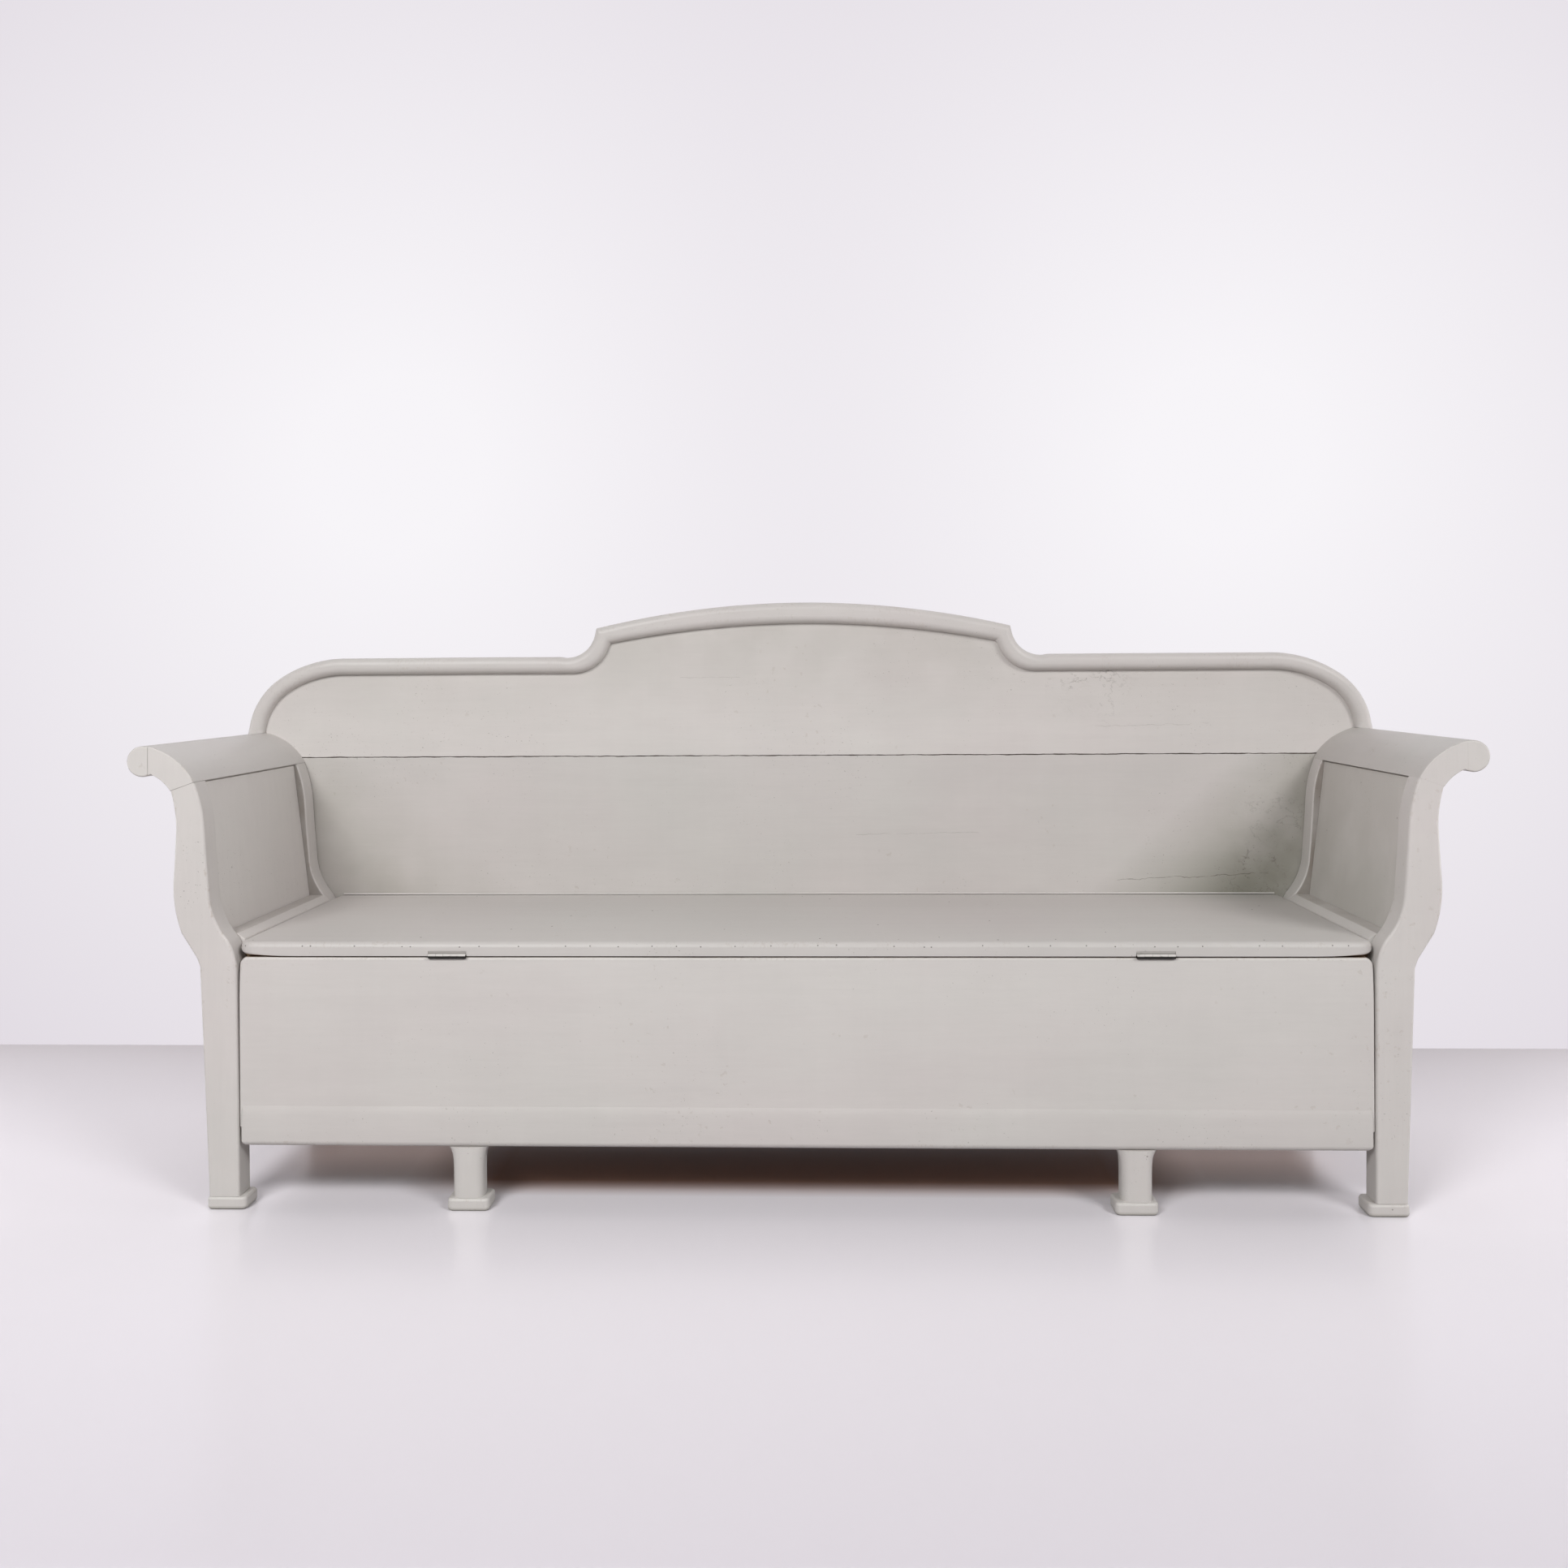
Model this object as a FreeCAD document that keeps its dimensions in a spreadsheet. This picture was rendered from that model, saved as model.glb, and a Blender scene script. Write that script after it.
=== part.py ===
import FreeCAD, Part
import math
import os
import Sketcher

# Pull-out bench bed of painted pine, as a parametric document in millimetres.
# +X runs along the bench, +Y to its back, +Z up. The origin is on the floor under the middle of the whole.
# The frame stands still, the pull-out slides to the front, and the seat lid is hinged to the pull-out.

os.makedirs("parts", exist_ok=True)
doc = FreeCAD.newDocument("bench_bed")

SIZES = {
    # The whole frame
    "clear_width": 1814,
    "seat_height": 430,
    "frame_depth": 470,
    "arm_rise": 317.5,
    "arm_flare": 178,
    "knee_drop": 40,
    "underside_height": 101.5,
    # Posts and their feet
    "post_depth": 44,
    "post_width": 60,
    "foot_width": 50,
    "foot_draw_in": 3,
    "pad_height": 20,
    "pad_reach": 3,
    "pad_inner_reach": 12,
    # Arms
    "roll_radius": 25,
    "roll_joint_back": 10,
    "panel_thickness": 15,
    "panel_foot_out": 43,
    "panel_seat_depth": 8,
    "arm_rail_set_back": 4,
    "arm_rail_height": 72,
    "shelf_rise": 7,
    "shelf_chamfer": 13,
    "chamfer_drop": 10,
    # Lower sides
    "sill_thickness": 46,
    "sill_height": 44,
    "side_board_thickness": 20,
    "side_board_set_back": 18,
    # Back
    "board_thickness": 22,
    "board_joint_drop": 49,
    "middle_board_drop": 30,
    "base_board_foot": 55,
    "shoulder_rise": 144.5,
    "arch_rise": 102,
    "ear_rise": 55,
    "ear_out": 400,
    "ogee_run": 72,
    "corner_run": 188,
    "bead_width": 32,
    "bead_proud": 15,
    "arch_bead_width": 40,
    "inner_ear_drop": 29,
    "inner_ear_back": 28,
    "batten_width": 60,
    "batten_out": 420,
    "batten_foot": 180,
    "batten_head_gap": 40,
    # Slatted bottom
    "stretcher_thickness": 22,
    "stretcher_gap": 4,
    "slat_rise": 40.5,
    "slat_thickness": 18,
    "slat_gap": 14.5,
    "slat_side_play": 2,
    "notch_depth": 4,
    "crossbar_height": 26,
    "crossbar_gap": 2,
    "bearer_height": 30,
    # Pull-out front
    "front_board_gap": 3.5,
    "front_board_thickness": 22,
    "front_board_set_back": 4,
    "front_corner_radius": 13,
    "front_board_seat": 30.5,
    "front_rail_height": 50.5,
    "front_rail_slope": 14,
    "front_rail_depth": 46,
    "front_rail_end_gap": 6,
    "drawer_side_thickness": 18,
    "drawer_side_gap": 9,
    "drawer_side_drop": 7.6,
    # Middle legs
    "middle_leg_out": 532,
    "middle_leg_width": 57,
    "middle_leg_flare": 7,
    "middle_leg_flare_drop": 16,
    "middle_pad_width": 68,
    "tenon_length": 24,
    "tenon_width": 32,
    "tenon_thickness": 14,
    "tenon_set_back": 15,
    # Seat lid
    "lid_thickness": 22,
    "lid_side_gap": 1,
    "lid_rear_gap": 2,
    "lid_corner_radius": 26,
    "lid_set_back": 3,
    "ledge_size": 22,
    "ledge_play": 0.5,
    "lid_batten_width": 50,
    "lid_batten_thickness": 20,
    "lid_batten_out": 420,
    "lid_batten_inset": 60,
    # Butt hinges at the front edge of the lid
    "hinge_out": 564.5,
    "hinge_length": 60,
    "hinge_set_back": 2,
    "barrel_radius": 4,
    "pin_radius": 1.8,
    "pin_play": 0.05,
    "knuckle_gap": 0.4,
    "plate_gap": 0.4,
    "leaf_width": 18,
    "leaf_gap": 1,
    "recess_height": 8,
    "recess_depth": 6,
    "recess_end_gap": 1,
    "screw_radius": 1.6,
    "screw_head_radius": 3,
    "screw_length": 14,
    # Fit and cutting
    "running_gap": 0.4,
    "overrun": 5,
}

# Counts of pieces that repeat
MOVING_SLATS = 9
KNUCKLES = 5
SCREWS_PER_LEAF = 3


def make_sheet():
    """Put every named size in the sheet as a plain number with an alias."""
    page = doc.addObject("Spreadsheet::Sheet", "Sizes")
    for row, (name, value) in enumerate(SIZES.items(), start=1):
        page.set(f"A{row}", name)
        page.set(f"B{row}", str(value))
        page.setAlias(f"B{row}", name)
    doc.recompute()
    return page


sheet = make_sheet()


class Size:
    """A length that carries its value and the formula that binds it to the sheet."""

    def __init__(self, value, text):
        self.value = float(value)
        self.text = text

    @staticmethod
    def of(other):
        return other if isinstance(other, Size) else Size(other, repr(float(other)))

    def joined(self, other, sign, value):
        return Size(value, f"({self.text} {sign} {other.text})")

    def __add__(self, other):
        other = Size.of(other)
        return self.joined(other, "+", self.value + other.value)

    def __sub__(self, other):
        other = Size.of(other)
        return self.joined(other, "-", self.value - other.value)

    def __mul__(self, other):
        other = Size.of(other)
        return self.joined(other, "*", self.value * other.value)

    def __truediv__(self, other):
        other = Size.of(other)
        return self.joined(other, "/", self.value / other.value)

    def __neg__(self):
        return Size(-self.value, f"(0 - {self.text})")

    __radd__ = __add__
    __rmul__ = __mul__


def named(name):
    """The named size, as it stands in the sheet."""
    return Size(sheet.get(name), f"Sizes.{name}")


s = {name: named(name) for name in SIZES}
ZERO = Size(0, "0")

# Heights and places that several pieces share
seat_height = s["seat_height"]
knee_height = seat_height - s["knee_drop"]
arm_height = seat_height + s["arm_rise"]
board_joint_height = arm_height - s["board_joint_drop"]
middle_board_foot = seat_height - s["middle_board_drop"]
shoulder_height = arm_height + s["shoulder_rise"]
ear_height = shoulder_height + s["ear_rise"]
arch_height = shoulder_height + s["arch_rise"]
slat_level = s["underside_height"] + s["slat_rise"]
half_opening = s["clear_width"] / 2
whole_depth = s["pad_reach"] + s["frame_depth"] + s["board_thickness"] * 2
front = s["pad_reach"] - whole_depth / 2
rear_post_front = s["frame_depth"] - s["post_depth"]
between_posts = rear_post_front - s["post_depth"]
lid_foot = seat_height - s["lid_thickness"]
front_board_top = lid_foot - s["barrel_radius"]
shelf_height = seat_height + s["shelf_rise"]
rail_inner = half_opening + s["arm_rail_set_back"]
panel_foot_height = shelf_height - s["panel_seat_depth"]
rail_outer = half_opening + s["panel_foot_out"] + s["panel_thickness"]
slat_floor = slat_level - s["notch_depth"] + s["running_gap"]
front_board_half = half_opening - s["front_board_gap"]
drawer_side_outer = half_opening - s["drawer_side_gap"]
ledge_foot = lid_foot - s["ledge_play"] - s["ledge_size"]
leaf_thickness = (s["barrel_radius"] - s["plate_gap"]) / 2
slat_width = (drawer_side_outer * 2 - s["slat_gap"] * (MOVING_SLATS * 2 - 2)) / (MOVING_SLATS * 2 - 1)
slat_pitch = (slat_width + s["slat_gap"]) * 2
front_board_rear = s["front_board_set_back"] + s["front_board_thickness"]
hinge_height = lid_foot
roll_out = half_opening + s["arm_flare"] - s["roll_radius"]
roll_up = arm_height - s["roll_radius"]


def bind(piece, prop, size):
    """Give a property its value and tie it to the sheet."""
    piece.setExpression(prop, Size.of(size).text)


def place(piece, x=ZERO, y=ZERO, z=ZERO):
    """Set a piece in the bench, with y counted from the front plane of the posts."""
    bind(piece, "Placement.Base.x", x)
    bind(piece, "Placement.Base.y", front + y)
    bind(piece, "Placement.Base.z", z)


def board(label, x, y, z, length, depth, height):
    """A straight board, with its lowest corner at x, y, z."""
    piece = doc.addObject("Part::Box", label)
    bind(piece, "Length", length)
    bind(piece, "Width", depth)
    bind(piece, "Height", height)
    place(piece, x, y, z)
    return piece


def mirrored_board(label, side, x, y, z, length, depth, height):
    """A board whose nearer face is x away from the middle, on the side given by +1 or -1."""
    low = x if side > 0 else -(x + length)
    return board(label, low, y, z, length, depth, height)


def rod(label, x, y, z, radius, length):
    """A round bar along X, with y counted from the front plane."""
    piece = doc.addObject("Part::Cylinder", label)
    bind(piece, "Radius", radius)
    bind(piece, "Height", length)
    piece.Placement.Rotation = FreeCAD.Rotation(FreeCAD.Vector(0, 1, 0), 90)
    place(piece, x, y, z)
    return piece


def fused(label, pieces):
    piece = doc.addObject("Part::MultiFuse", label)
    piece.Shapes = pieces
    return piece


def cut(label, base, tools):
    """Take one tool, or several joined, away from a piece."""
    tool = tools[0] if len(tools) == 1 else fused(label + "_tools", tools)
    piece = doc.addObject("Part::Cut", label)
    piece.Base = base
    piece.Tool = tool
    return piece


def group(label, pieces):
    """Several like pieces that share a name and stay separate solids."""
    piece = doc.addObject("Part::Compound", label)
    piece.Links = pieces
    return piece


def plane_of(body, role):
    return next(f for f in body.Origin.OriginFeatures if f.Role == role)


def pin_point(sketch, geometry, end, point):
    """Hold a point of the sketch at its named distances from the origin."""
    for kind, axis, size in (("DistanceX", -2, point[0]), ("DistanceY", -1, point[1])):
        if abs(size.value) < 1e-9:
            sketch.addConstraint(Sketcher.Constraint("PointOnObject", geometry, end, axis))
            continue
        index = sketch.addConstraint(Sketcher.Constraint(kind, -1, 1, geometry, end, size.value))
        sketch.setExpression(f"Constraints[{index}]", size.text)


def in_sketch(point):
    return FreeCAD.Vector(point[0].value, point[1].value, 0)


def draw_outline(sketch, steps):
    """Draw a closed outline: a step is a point that a line runs to, or a point on an arc and its end."""
    ends = [step[-2:] for step in steps]
    for index, step in enumerate(steps):
        start, stop = in_sketch(ends[index - 1]), in_sketch(ends[index])
        if len(step) == 2:
            sketch.addGeometry(Part.LineSegment(start, stop), False)
            continue
        sketch.addGeometry(Part.Arc(start, in_sketch(step[:2]), stop), False)
    count = len(steps)
    for index, step in enumerate(steps):
        stop_end = stop_and_start(sketch, index, ends)[0]
        following = (index + 1) % count
        next_start = stop_and_start(sketch, following, ends)[1]
        sketch.addConstraint(Sketcher.Constraint("Coincident", index, stop_end, following, next_start))
        pin_point(sketch, index, stop_end, ends[index])
        if len(step) == 4:
            mark = sketch.addGeometry(Part.Point(in_sketch(step[:2])), True)
            pin_point(sketch, mark, 1, step[:2])
            sketch.addConstraint(Sketcher.Constraint("PointOnObject", mark, 1, index))


def stop_and_start(sketch, index, ends):
    """Which end of a drawn edge lies at its stop, and which at its start: an arc may be kept backwards."""
    stop = in_sketch(ends[index])
    kept = (sketch.getPoint(index, 2) - stop).Length < (sketch.getPoint(index, 1) - stop).Length
    return (2, 1) if kept else (1, 2)


def turned_over(steps):
    """An outline of the right half carried over to the left."""
    return [tuple(-v if i % 2 == 0 else v for i, v in enumerate(step)) for step in steps]


def shaped(label, role, steps, thickness, mirror=False):
    """A piece cut to an outline in one plane and as thick as given, towards +X, +Y or +Z."""
    body = doc.addObject("PartDesign::Body", label)
    sketch = body.newObject("Sketcher::SketchObject", label + "_outline")
    sketch.AttachmentSupport = (plane_of(body, role), [""])
    sketch.MapMode = "FlatFace"
    draw_outline(sketch, turned_over(steps) if mirror else steps)
    pad = body.newObject("PartDesign::Pad", label + "_pad")
    pad.Profile = sketch
    bind(pad, "Length", thickness)
    pad.Reversed = role == "XZ_Plane"
    body.Tip = pad
    return body


def arm_point(out_share, up_share):
    """A point of the arm's face: shares of the flare and of the rise from the knee to the arm's top."""
    out = half_opening + s["arm_flare"] * out_share
    up = knee_height + (arm_height - knee_height) * up_share
    return out, up


def arm_arc(middle_shares, end_shares):
    return arm_point(*middle_shares) + arm_point(*end_shares)


def roll_point(angle):
    """A point on the round of the arm's roll, by its angle in degrees from straight outwards."""
    out = roll_out + s["roll_radius"] * math.cos(math.radians(angle))
    up = roll_up + s["roll_radius"] * math.sin(math.radians(angle))
    return out, up


# Shares that shape the S of the post and the scroll of the arm
JOINT_INNER_SHARES = (0.382, 0.836)
JOINT_OUTER_SHARES = (0.601, 0.797)
ROLL_JOINT_SHARES = (0.803, 0.998)
PANEL_TOP_SHARE = 0.128
KNEE_SHARES = (0, 0)
CALF_SHARES = (0.365, 0.039)
POST_INNER_SHARES = (
    ((0.022, 0.062), (0.079, 0.123)),
    ((0.180, 0.199), (0.242, 0.302)),
    ((0.270, 0.476), (0.289, 0.629)),
    ((0.317, 0.733), JOINT_INNER_SHARES),
)
POST_OUTER_SHARES = (
    ((0.567, 0.722), (0.551, 0.629)),
    ((0.565, 0.503), (0.581, 0.378)),
    ((0.562, 0.252), (0.506, 0.151)),
)
SCROLL_MIDDLE_SHARES = (0.522, 0.926)
SCROLL_END_SHARES = (0.725, 0.986)
SCROLL_LIP_SHARES = (0.765, 0.994)
SCROLL_UNDERSIDE_SHARES = (0.680, 0.842)
joint_inner = arm_point(*JOINT_INNER_SHARES)
joint_outer = arm_point(*JOINT_OUTER_SHARES)
roll_joint_top = (roll_out - s["roll_joint_back"], arm_point(*ROLL_JOINT_SHARES)[1])
NOTCH_ANGLE = 235.7
roll_joint_angle = 180 + math.degrees(math.acos(s["roll_joint_back"].value / s["roll_radius"].value))


def on_joint(share):
    """A point on the sloping joint between the post and the scroll board."""
    out = joint_inner[0] + (joint_outer[0] - joint_inner[0]) * share
    up = joint_inner[1] + (joint_outer[1] - joint_inner[1]) * share
    return out, up


def post_steps(foot):
    """The outline of an S-shaped post that stands on the height given."""
    steps = [(half_opening - s["foot_draw_in"], foot), arm_point(*KNEE_SHARES)]
    steps += [arm_arc(middle_shares, end_shares) for middle_shares, end_shares in POST_INNER_SHARES]
    steps.append(joint_outer)
    steps += [arm_arc(middle_shares, end_shares) for middle_shares, end_shares in POST_OUTER_SHARES]
    steps.append(arm_point(*CALF_SHARES))
    steps.append((half_opening + s["post_width"], knee_height))
    steps.append((half_opening - s["foot_draw_in"] + s["foot_width"], foot))
    return steps


def scroll_steps():
    """The outline of the scroll board above the post, up to the joint of the roll."""
    return [
        joint_inner,
        arm_arc(SCROLL_MIDDLE_SHARES, SCROLL_END_SHARES),
        arm_point(*SCROLL_LIP_SHARES) + roll_joint_top,
        roll_point(roll_joint_angle),
        roll_point((NOTCH_ANGLE + roll_joint_angle) / 2) + roll_point(NOTCH_ANGLE),
        arm_arc(SCROLL_UNDERSIDE_SHARES, JOINT_OUTER_SHARES),
    ]


def roll_steps():
    """The outline of the rounded strip along the outer edge of the arm."""
    return [
        roll_joint_top,
        roll_point(90),
        roll_point(0) + roll_point(-90),
        roll_point((270 + roll_joint_angle) / 2) + roll_point(roll_joint_angle),
    ]


def panel_steps():
    """The leaning panel of the arm, from its seat on the rail up to the joint line."""
    outer_top_share = s["panel_thickness"] / (joint_outer[0] - joint_inner[0]) + PANEL_TOP_SHARE
    foot = half_opening + s["panel_foot_out"]
    return [
        (foot, panel_foot_height),
        on_joint(PANEL_TOP_SHARE),
        on_joint(outer_top_share),
        (foot + s["panel_thickness"], panel_foot_height),
    ]


def arm_rail_steps():
    """The rail under the arm's panel: chamfered towards the seat, rebated for the panel."""
    top = shelf_height
    rail_foot = top - s["arm_rail_height"]
    panel_foot = half_opening + s["panel_foot_out"]
    return [
        (rail_inner, rail_foot),
        (rail_inner, top - s["chamfer_drop"]),
        (rail_inner + s["shelf_chamfer"], top),
        (panel_foot, top),
        (panel_foot, panel_foot_height),
        (rail_outer, panel_foot_height),
        (rail_outer, rail_foot),
    ]


def build_arm(side, word):
    """One end of the frame: posts, foot, scroll, roll, panel, rails and the boards below."""
    turned = side < 0
    pieces = []
    front_outline, rear_outline = post_steps(s["pad_height"]), post_steps(ZERO)
    front_post = shaped(f"front_post_{word}", "XZ_Plane", front_outline, s["post_depth"], turned)
    place(front_post)
    rear_post = shaped(f"rear_post_{word}", "XZ_Plane", rear_outline, s["post_depth"], turned)
    place(rear_post, y=rear_post_front)
    scroll = shaped(f"arm_scroll_{word}", "XZ_Plane", scroll_steps(), s["frame_depth"], turned)
    place(scroll)
    roll = shaped(f"arm_roll_{word}", "XZ_Plane", roll_steps(), s["frame_depth"], turned)
    place(roll)
    panel = shaped(f"arm_panel_{word}", "XZ_Plane", panel_steps(), between_posts, turned)
    place(panel, y=s["post_depth"])
    rail = shaped(f"arm_rail_{word}", "XZ_Plane", arm_rail_steps(), between_posts, turned)
    place(rail, y=s["post_depth"])
    pad_inner = half_opening - s["foot_draw_in"] - s["pad_inner_reach"]
    pad_width = s["pad_inner_reach"] + s["foot_width"] + s["pad_reach"]
    pad_depth = s["post_depth"] + s["pad_reach"] * 2
    foot = mirrored_board(f"front_foot_{word}", side, pad_inner, -s["pad_reach"], ZERO,
                          pad_width, pad_depth, s["pad_height"])
    sill = mirrored_board(f"side_sill_{word}", side, rail_inner, s["post_depth"], s["underside_height"],
                          s["sill_thickness"], between_posts, s["sill_height"])
    sill_top = s["underside_height"] + s["sill_height"]
    side_board = mirrored_board(f"side_board_{word}", side, half_opening + s["side_board_set_back"],
                                s["post_depth"], sill_top, s["side_board_thickness"], between_posts,
                                shelf_height - s["arm_rail_height"] - sill_top)
    ledge = mirrored_board(f"lid_ledge_{word}", side, rail_inner - s["ledge_size"], s["post_depth"],
                           ledge_foot, s["ledge_size"], between_posts,
                           s["ledge_size"])
    pieces += [front_post, rear_post, scroll, roll, panel, rail, foot, sill, side_board, ledge]
    return pieces


# Shares that shape the rounded ends of the back and the ogee up to the ears
CORNER_SHARES = ((1.0, 0.0), (0.930, 0.343), (0.680, 0.723), (0.356, 0.927), (0.0, 1.0))
OGEE_SHARES = ((0.27, 0.24), (0.03, 0.84))
INNER_OGEE_SHARES = ((0.304, 0.33), (0.045, 0.885))
INNER_OGEE_RUN_SHARE = 1.1

# Shares of the arm's flare and rise that shape the lower ends of the middle board of the back
MIDDLE_BOARD_END_SHARES = (0.52, 0.173)
MIDDLE_BOARD_BEND_SHARES = (0.44, 0.095)


def corner_steps(outer_end, start_height, shoulder, run):
    """The rounded end of the crest, from its foot on the scroll up to the level shoulder, as two arcs."""
    rise = shoulder - start_height
    points = [(outer_end - run * (1 - out), start_height + rise * up) for out, up in CORNER_SHARES]
    return [points[0], points[1] + points[2], points[3] + points[4]]


def ogee_steps(ear, ear_height, shoulder, run, shares):
    """The hollow that rises from the shoulder to an ear of the arch."""
    rise = ear_height - shoulder
    middle, end = ((ear + run * out, shoulder + rise * up) for out, up in shares)
    return [(ear + run, shoulder), middle + end, (ear, ear_height)]


def crest_lines():
    """The outer and the inner line of the bead along the crest, for the right half, from end to ear."""
    end = half_opening + s["arm_flare"]
    shoulder = shoulder_height
    ear = s["ear_out"]
    outer = corner_steps(end, arm_height, shoulder, s["corner_run"])
    outer += ogee_steps(ear, ear_height, shoulder, s["ogee_run"], OGEE_SHARES)
    low_shoulder = shoulder - s["bead_width"]
    inner_ear = ear - s["inner_ear_back"]
    inner_top = ear_height - s["inner_ear_drop"]
    inner_run = s["corner_run"] - s["bead_width"]
    inner = corner_steps(end - s["bead_width"], arm_height, low_shoulder, inner_run)
    inner_ogee_run = s["ogee_run"] * INNER_OGEE_RUN_SHARE
    inner += ogee_steps(inner_ear, inner_top, low_shoulder, inner_ogee_run, INNER_OGEE_SHARES)
    return outer, inner


def backwards(steps):
    """The same line walked the other way, so that an arc still has its own middle point."""
    turned = [steps[-1][-2:]]
    for index in range(len(steps) - 1, 0, -1):
        middle = steps[index][:-2]
        turned.append(tuple(middle) + tuple(steps[index - 1][-2:]))
    return turned


def build_back():
    """The three boards of the back, the bead along the crest, and the battens behind."""
    outer, inner = crest_lines()
    end = half_opening + s["arm_flare"]
    joint = board_joint_height
    diagonal = math.sqrt(0.5)
    corner_middle = (roll_out + s["roll_radius"] * diagonal, roll_up - s["roll_radius"] * diagonal)
    corner_foot = roll_out, joint
    left_outer = turned_over(outer)
    upper_steps = [corner_foot, corner_middle + (end, roll_up)] + outer
    upper_steps += [(ZERO, arch_height) + left_outer[-1][-2:]]
    upper_steps += backwards(left_outer)[1:]
    upper_steps += [(-end, roll_up), (-corner_middle[0], corner_middle[1], -corner_foot[0], corner_foot[1])]
    upper = shaped("back_board_upper", "XZ_Plane", upper_steps, s["board_thickness"])
    place(upper, y=s["frame_depth"])

    wide = arm_point(*MIDDLE_BOARD_END_SHARES)
    low = (half_opening + s["post_width"], middle_board_foot)
    between = arm_point(*MIDDLE_BOARD_BEND_SHARES)
    middle_steps = [
        low,
        between + wide,
        (wide[0], joint),
        (-wide[0], joint),
        (-wide[0], wide[1]),
        (-between[0], between[1], -low[0], low[1]),
    ]
    middle = shaped("back_board_middle", "XZ_Plane", middle_steps, s["board_thickness"])
    place(middle, y=s["frame_depth"])

    base_half = half_opening + s["foot_width"]
    base = board("back_board_base", -base_half, s["frame_depth"], s["base_board_foot"],
                 base_half * 2, s["board_thickness"], middle_board_foot - s["base_board_foot"])

    pieces = [upper, middle, base]
    bead_front = s["frame_depth"] - s["bead_proud"]
    ear, inner_ear = outer[-1][-2:], inner[-1][-2:]
    half_bead = [roll_point(90), roll_point(45) + roll_point(0)] + outer + [inner_ear] + backwards(inner)[1:]
    for word, turned in (("left", True), ("right", False)):
        bead = shaped(f"crest_bead_{word}", "XZ_Plane", half_bead, s["bead_proud"], turned)
        place(bead, y=bead_front)
        pieces.append(bead)
    arch_inner_top = arch_height - s["arch_bead_width"]
    arch_steps = [
        ear,
        (ZERO, arch_height, -ear[0], ear[1]),
        (-inner_ear[0], inner_ear[1]),
        (ZERO, arch_inner_top) + inner_ear,
    ]
    arch = shaped("crest_bead_arch", "XZ_Plane", arch_steps, s["bead_proud"])
    place(arch, y=bead_front)
    pieces.append(arch)
    batten_rise = shoulder_height - s["batten_head_gap"] - s["batten_foot"]
    for word, side in (("left", -1), ("right", 1)):
        near_side = s["batten_out"] - s["batten_width"] / 2
        pieces.append(mirrored_board(f"back_batten_{word}", side, near_side,
                                     s["frame_depth"] + s["board_thickness"], s["batten_foot"],
                                     s["batten_width"], s["board_thickness"], batten_rise))
    return pieces


def slat_centre(number, count):
    return slat_pitch * (number - (count - 1) / 2)


def build_bottom():
    """The fixed half of the slatted bottom: notched stretcher, rear bearer, rear ledge and slats."""
    stretcher_y = s["front_rail_depth"] + s["stretcher_gap"]
    stretcher_height = slat_level - s["underside_height"]
    blank = board("stretcher_blank", -rail_inner, stretcher_y, s["underside_height"], rail_inner * 2,
                  s["stretcher_thickness"], stretcher_height)
    notches = []
    for number in range(MOVING_SLATS):
        centre = slat_centre(number, MOVING_SLATS)
        width = slat_width + s["slat_side_play"] * 2
        notches.append(board(f"notch_{number + 1}", centre - width / 2, stretcher_y - s["overrun"],
                             slat_level - s["notch_depth"], width,
                             s["stretcher_thickness"] + s["overrun"] * 2, s["notch_depth"] + s["overrun"]))
    stretcher = cut("front_stretcher", blank, notches)
    bearer_y = s["frame_depth"] - s["board_thickness"]
    bearer = board("slat_bearer", -drawer_side_outer, bearer_y, slat_level - s["bearer_height"],
                   drawer_side_outer * 2, s["board_thickness"], s["bearer_height"])
    rear_ledge_half = half_opening - s["ledge_size"] * 2
    rear_ledge = board("lid_ledge_rear", -rear_ledge_half, s["frame_depth"] - s["ledge_size"],
                       ledge_foot, rear_ledge_half * 2, s["ledge_size"], s["ledge_size"])
    slats = []
    for number in range(MOVING_SLATS - 1):
        centre = slat_centre(number, MOVING_SLATS - 1)
        slats.append(board(f"fixed_slat_{number + 1}", centre - slat_width / 2, stretcher_y,
                           slat_level, slat_width, s["frame_depth"] - stretcher_y,
                           s["slat_thickness"]))
    return [stretcher, bearer, rear_ledge, group("fixed_slats", slats)]


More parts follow.
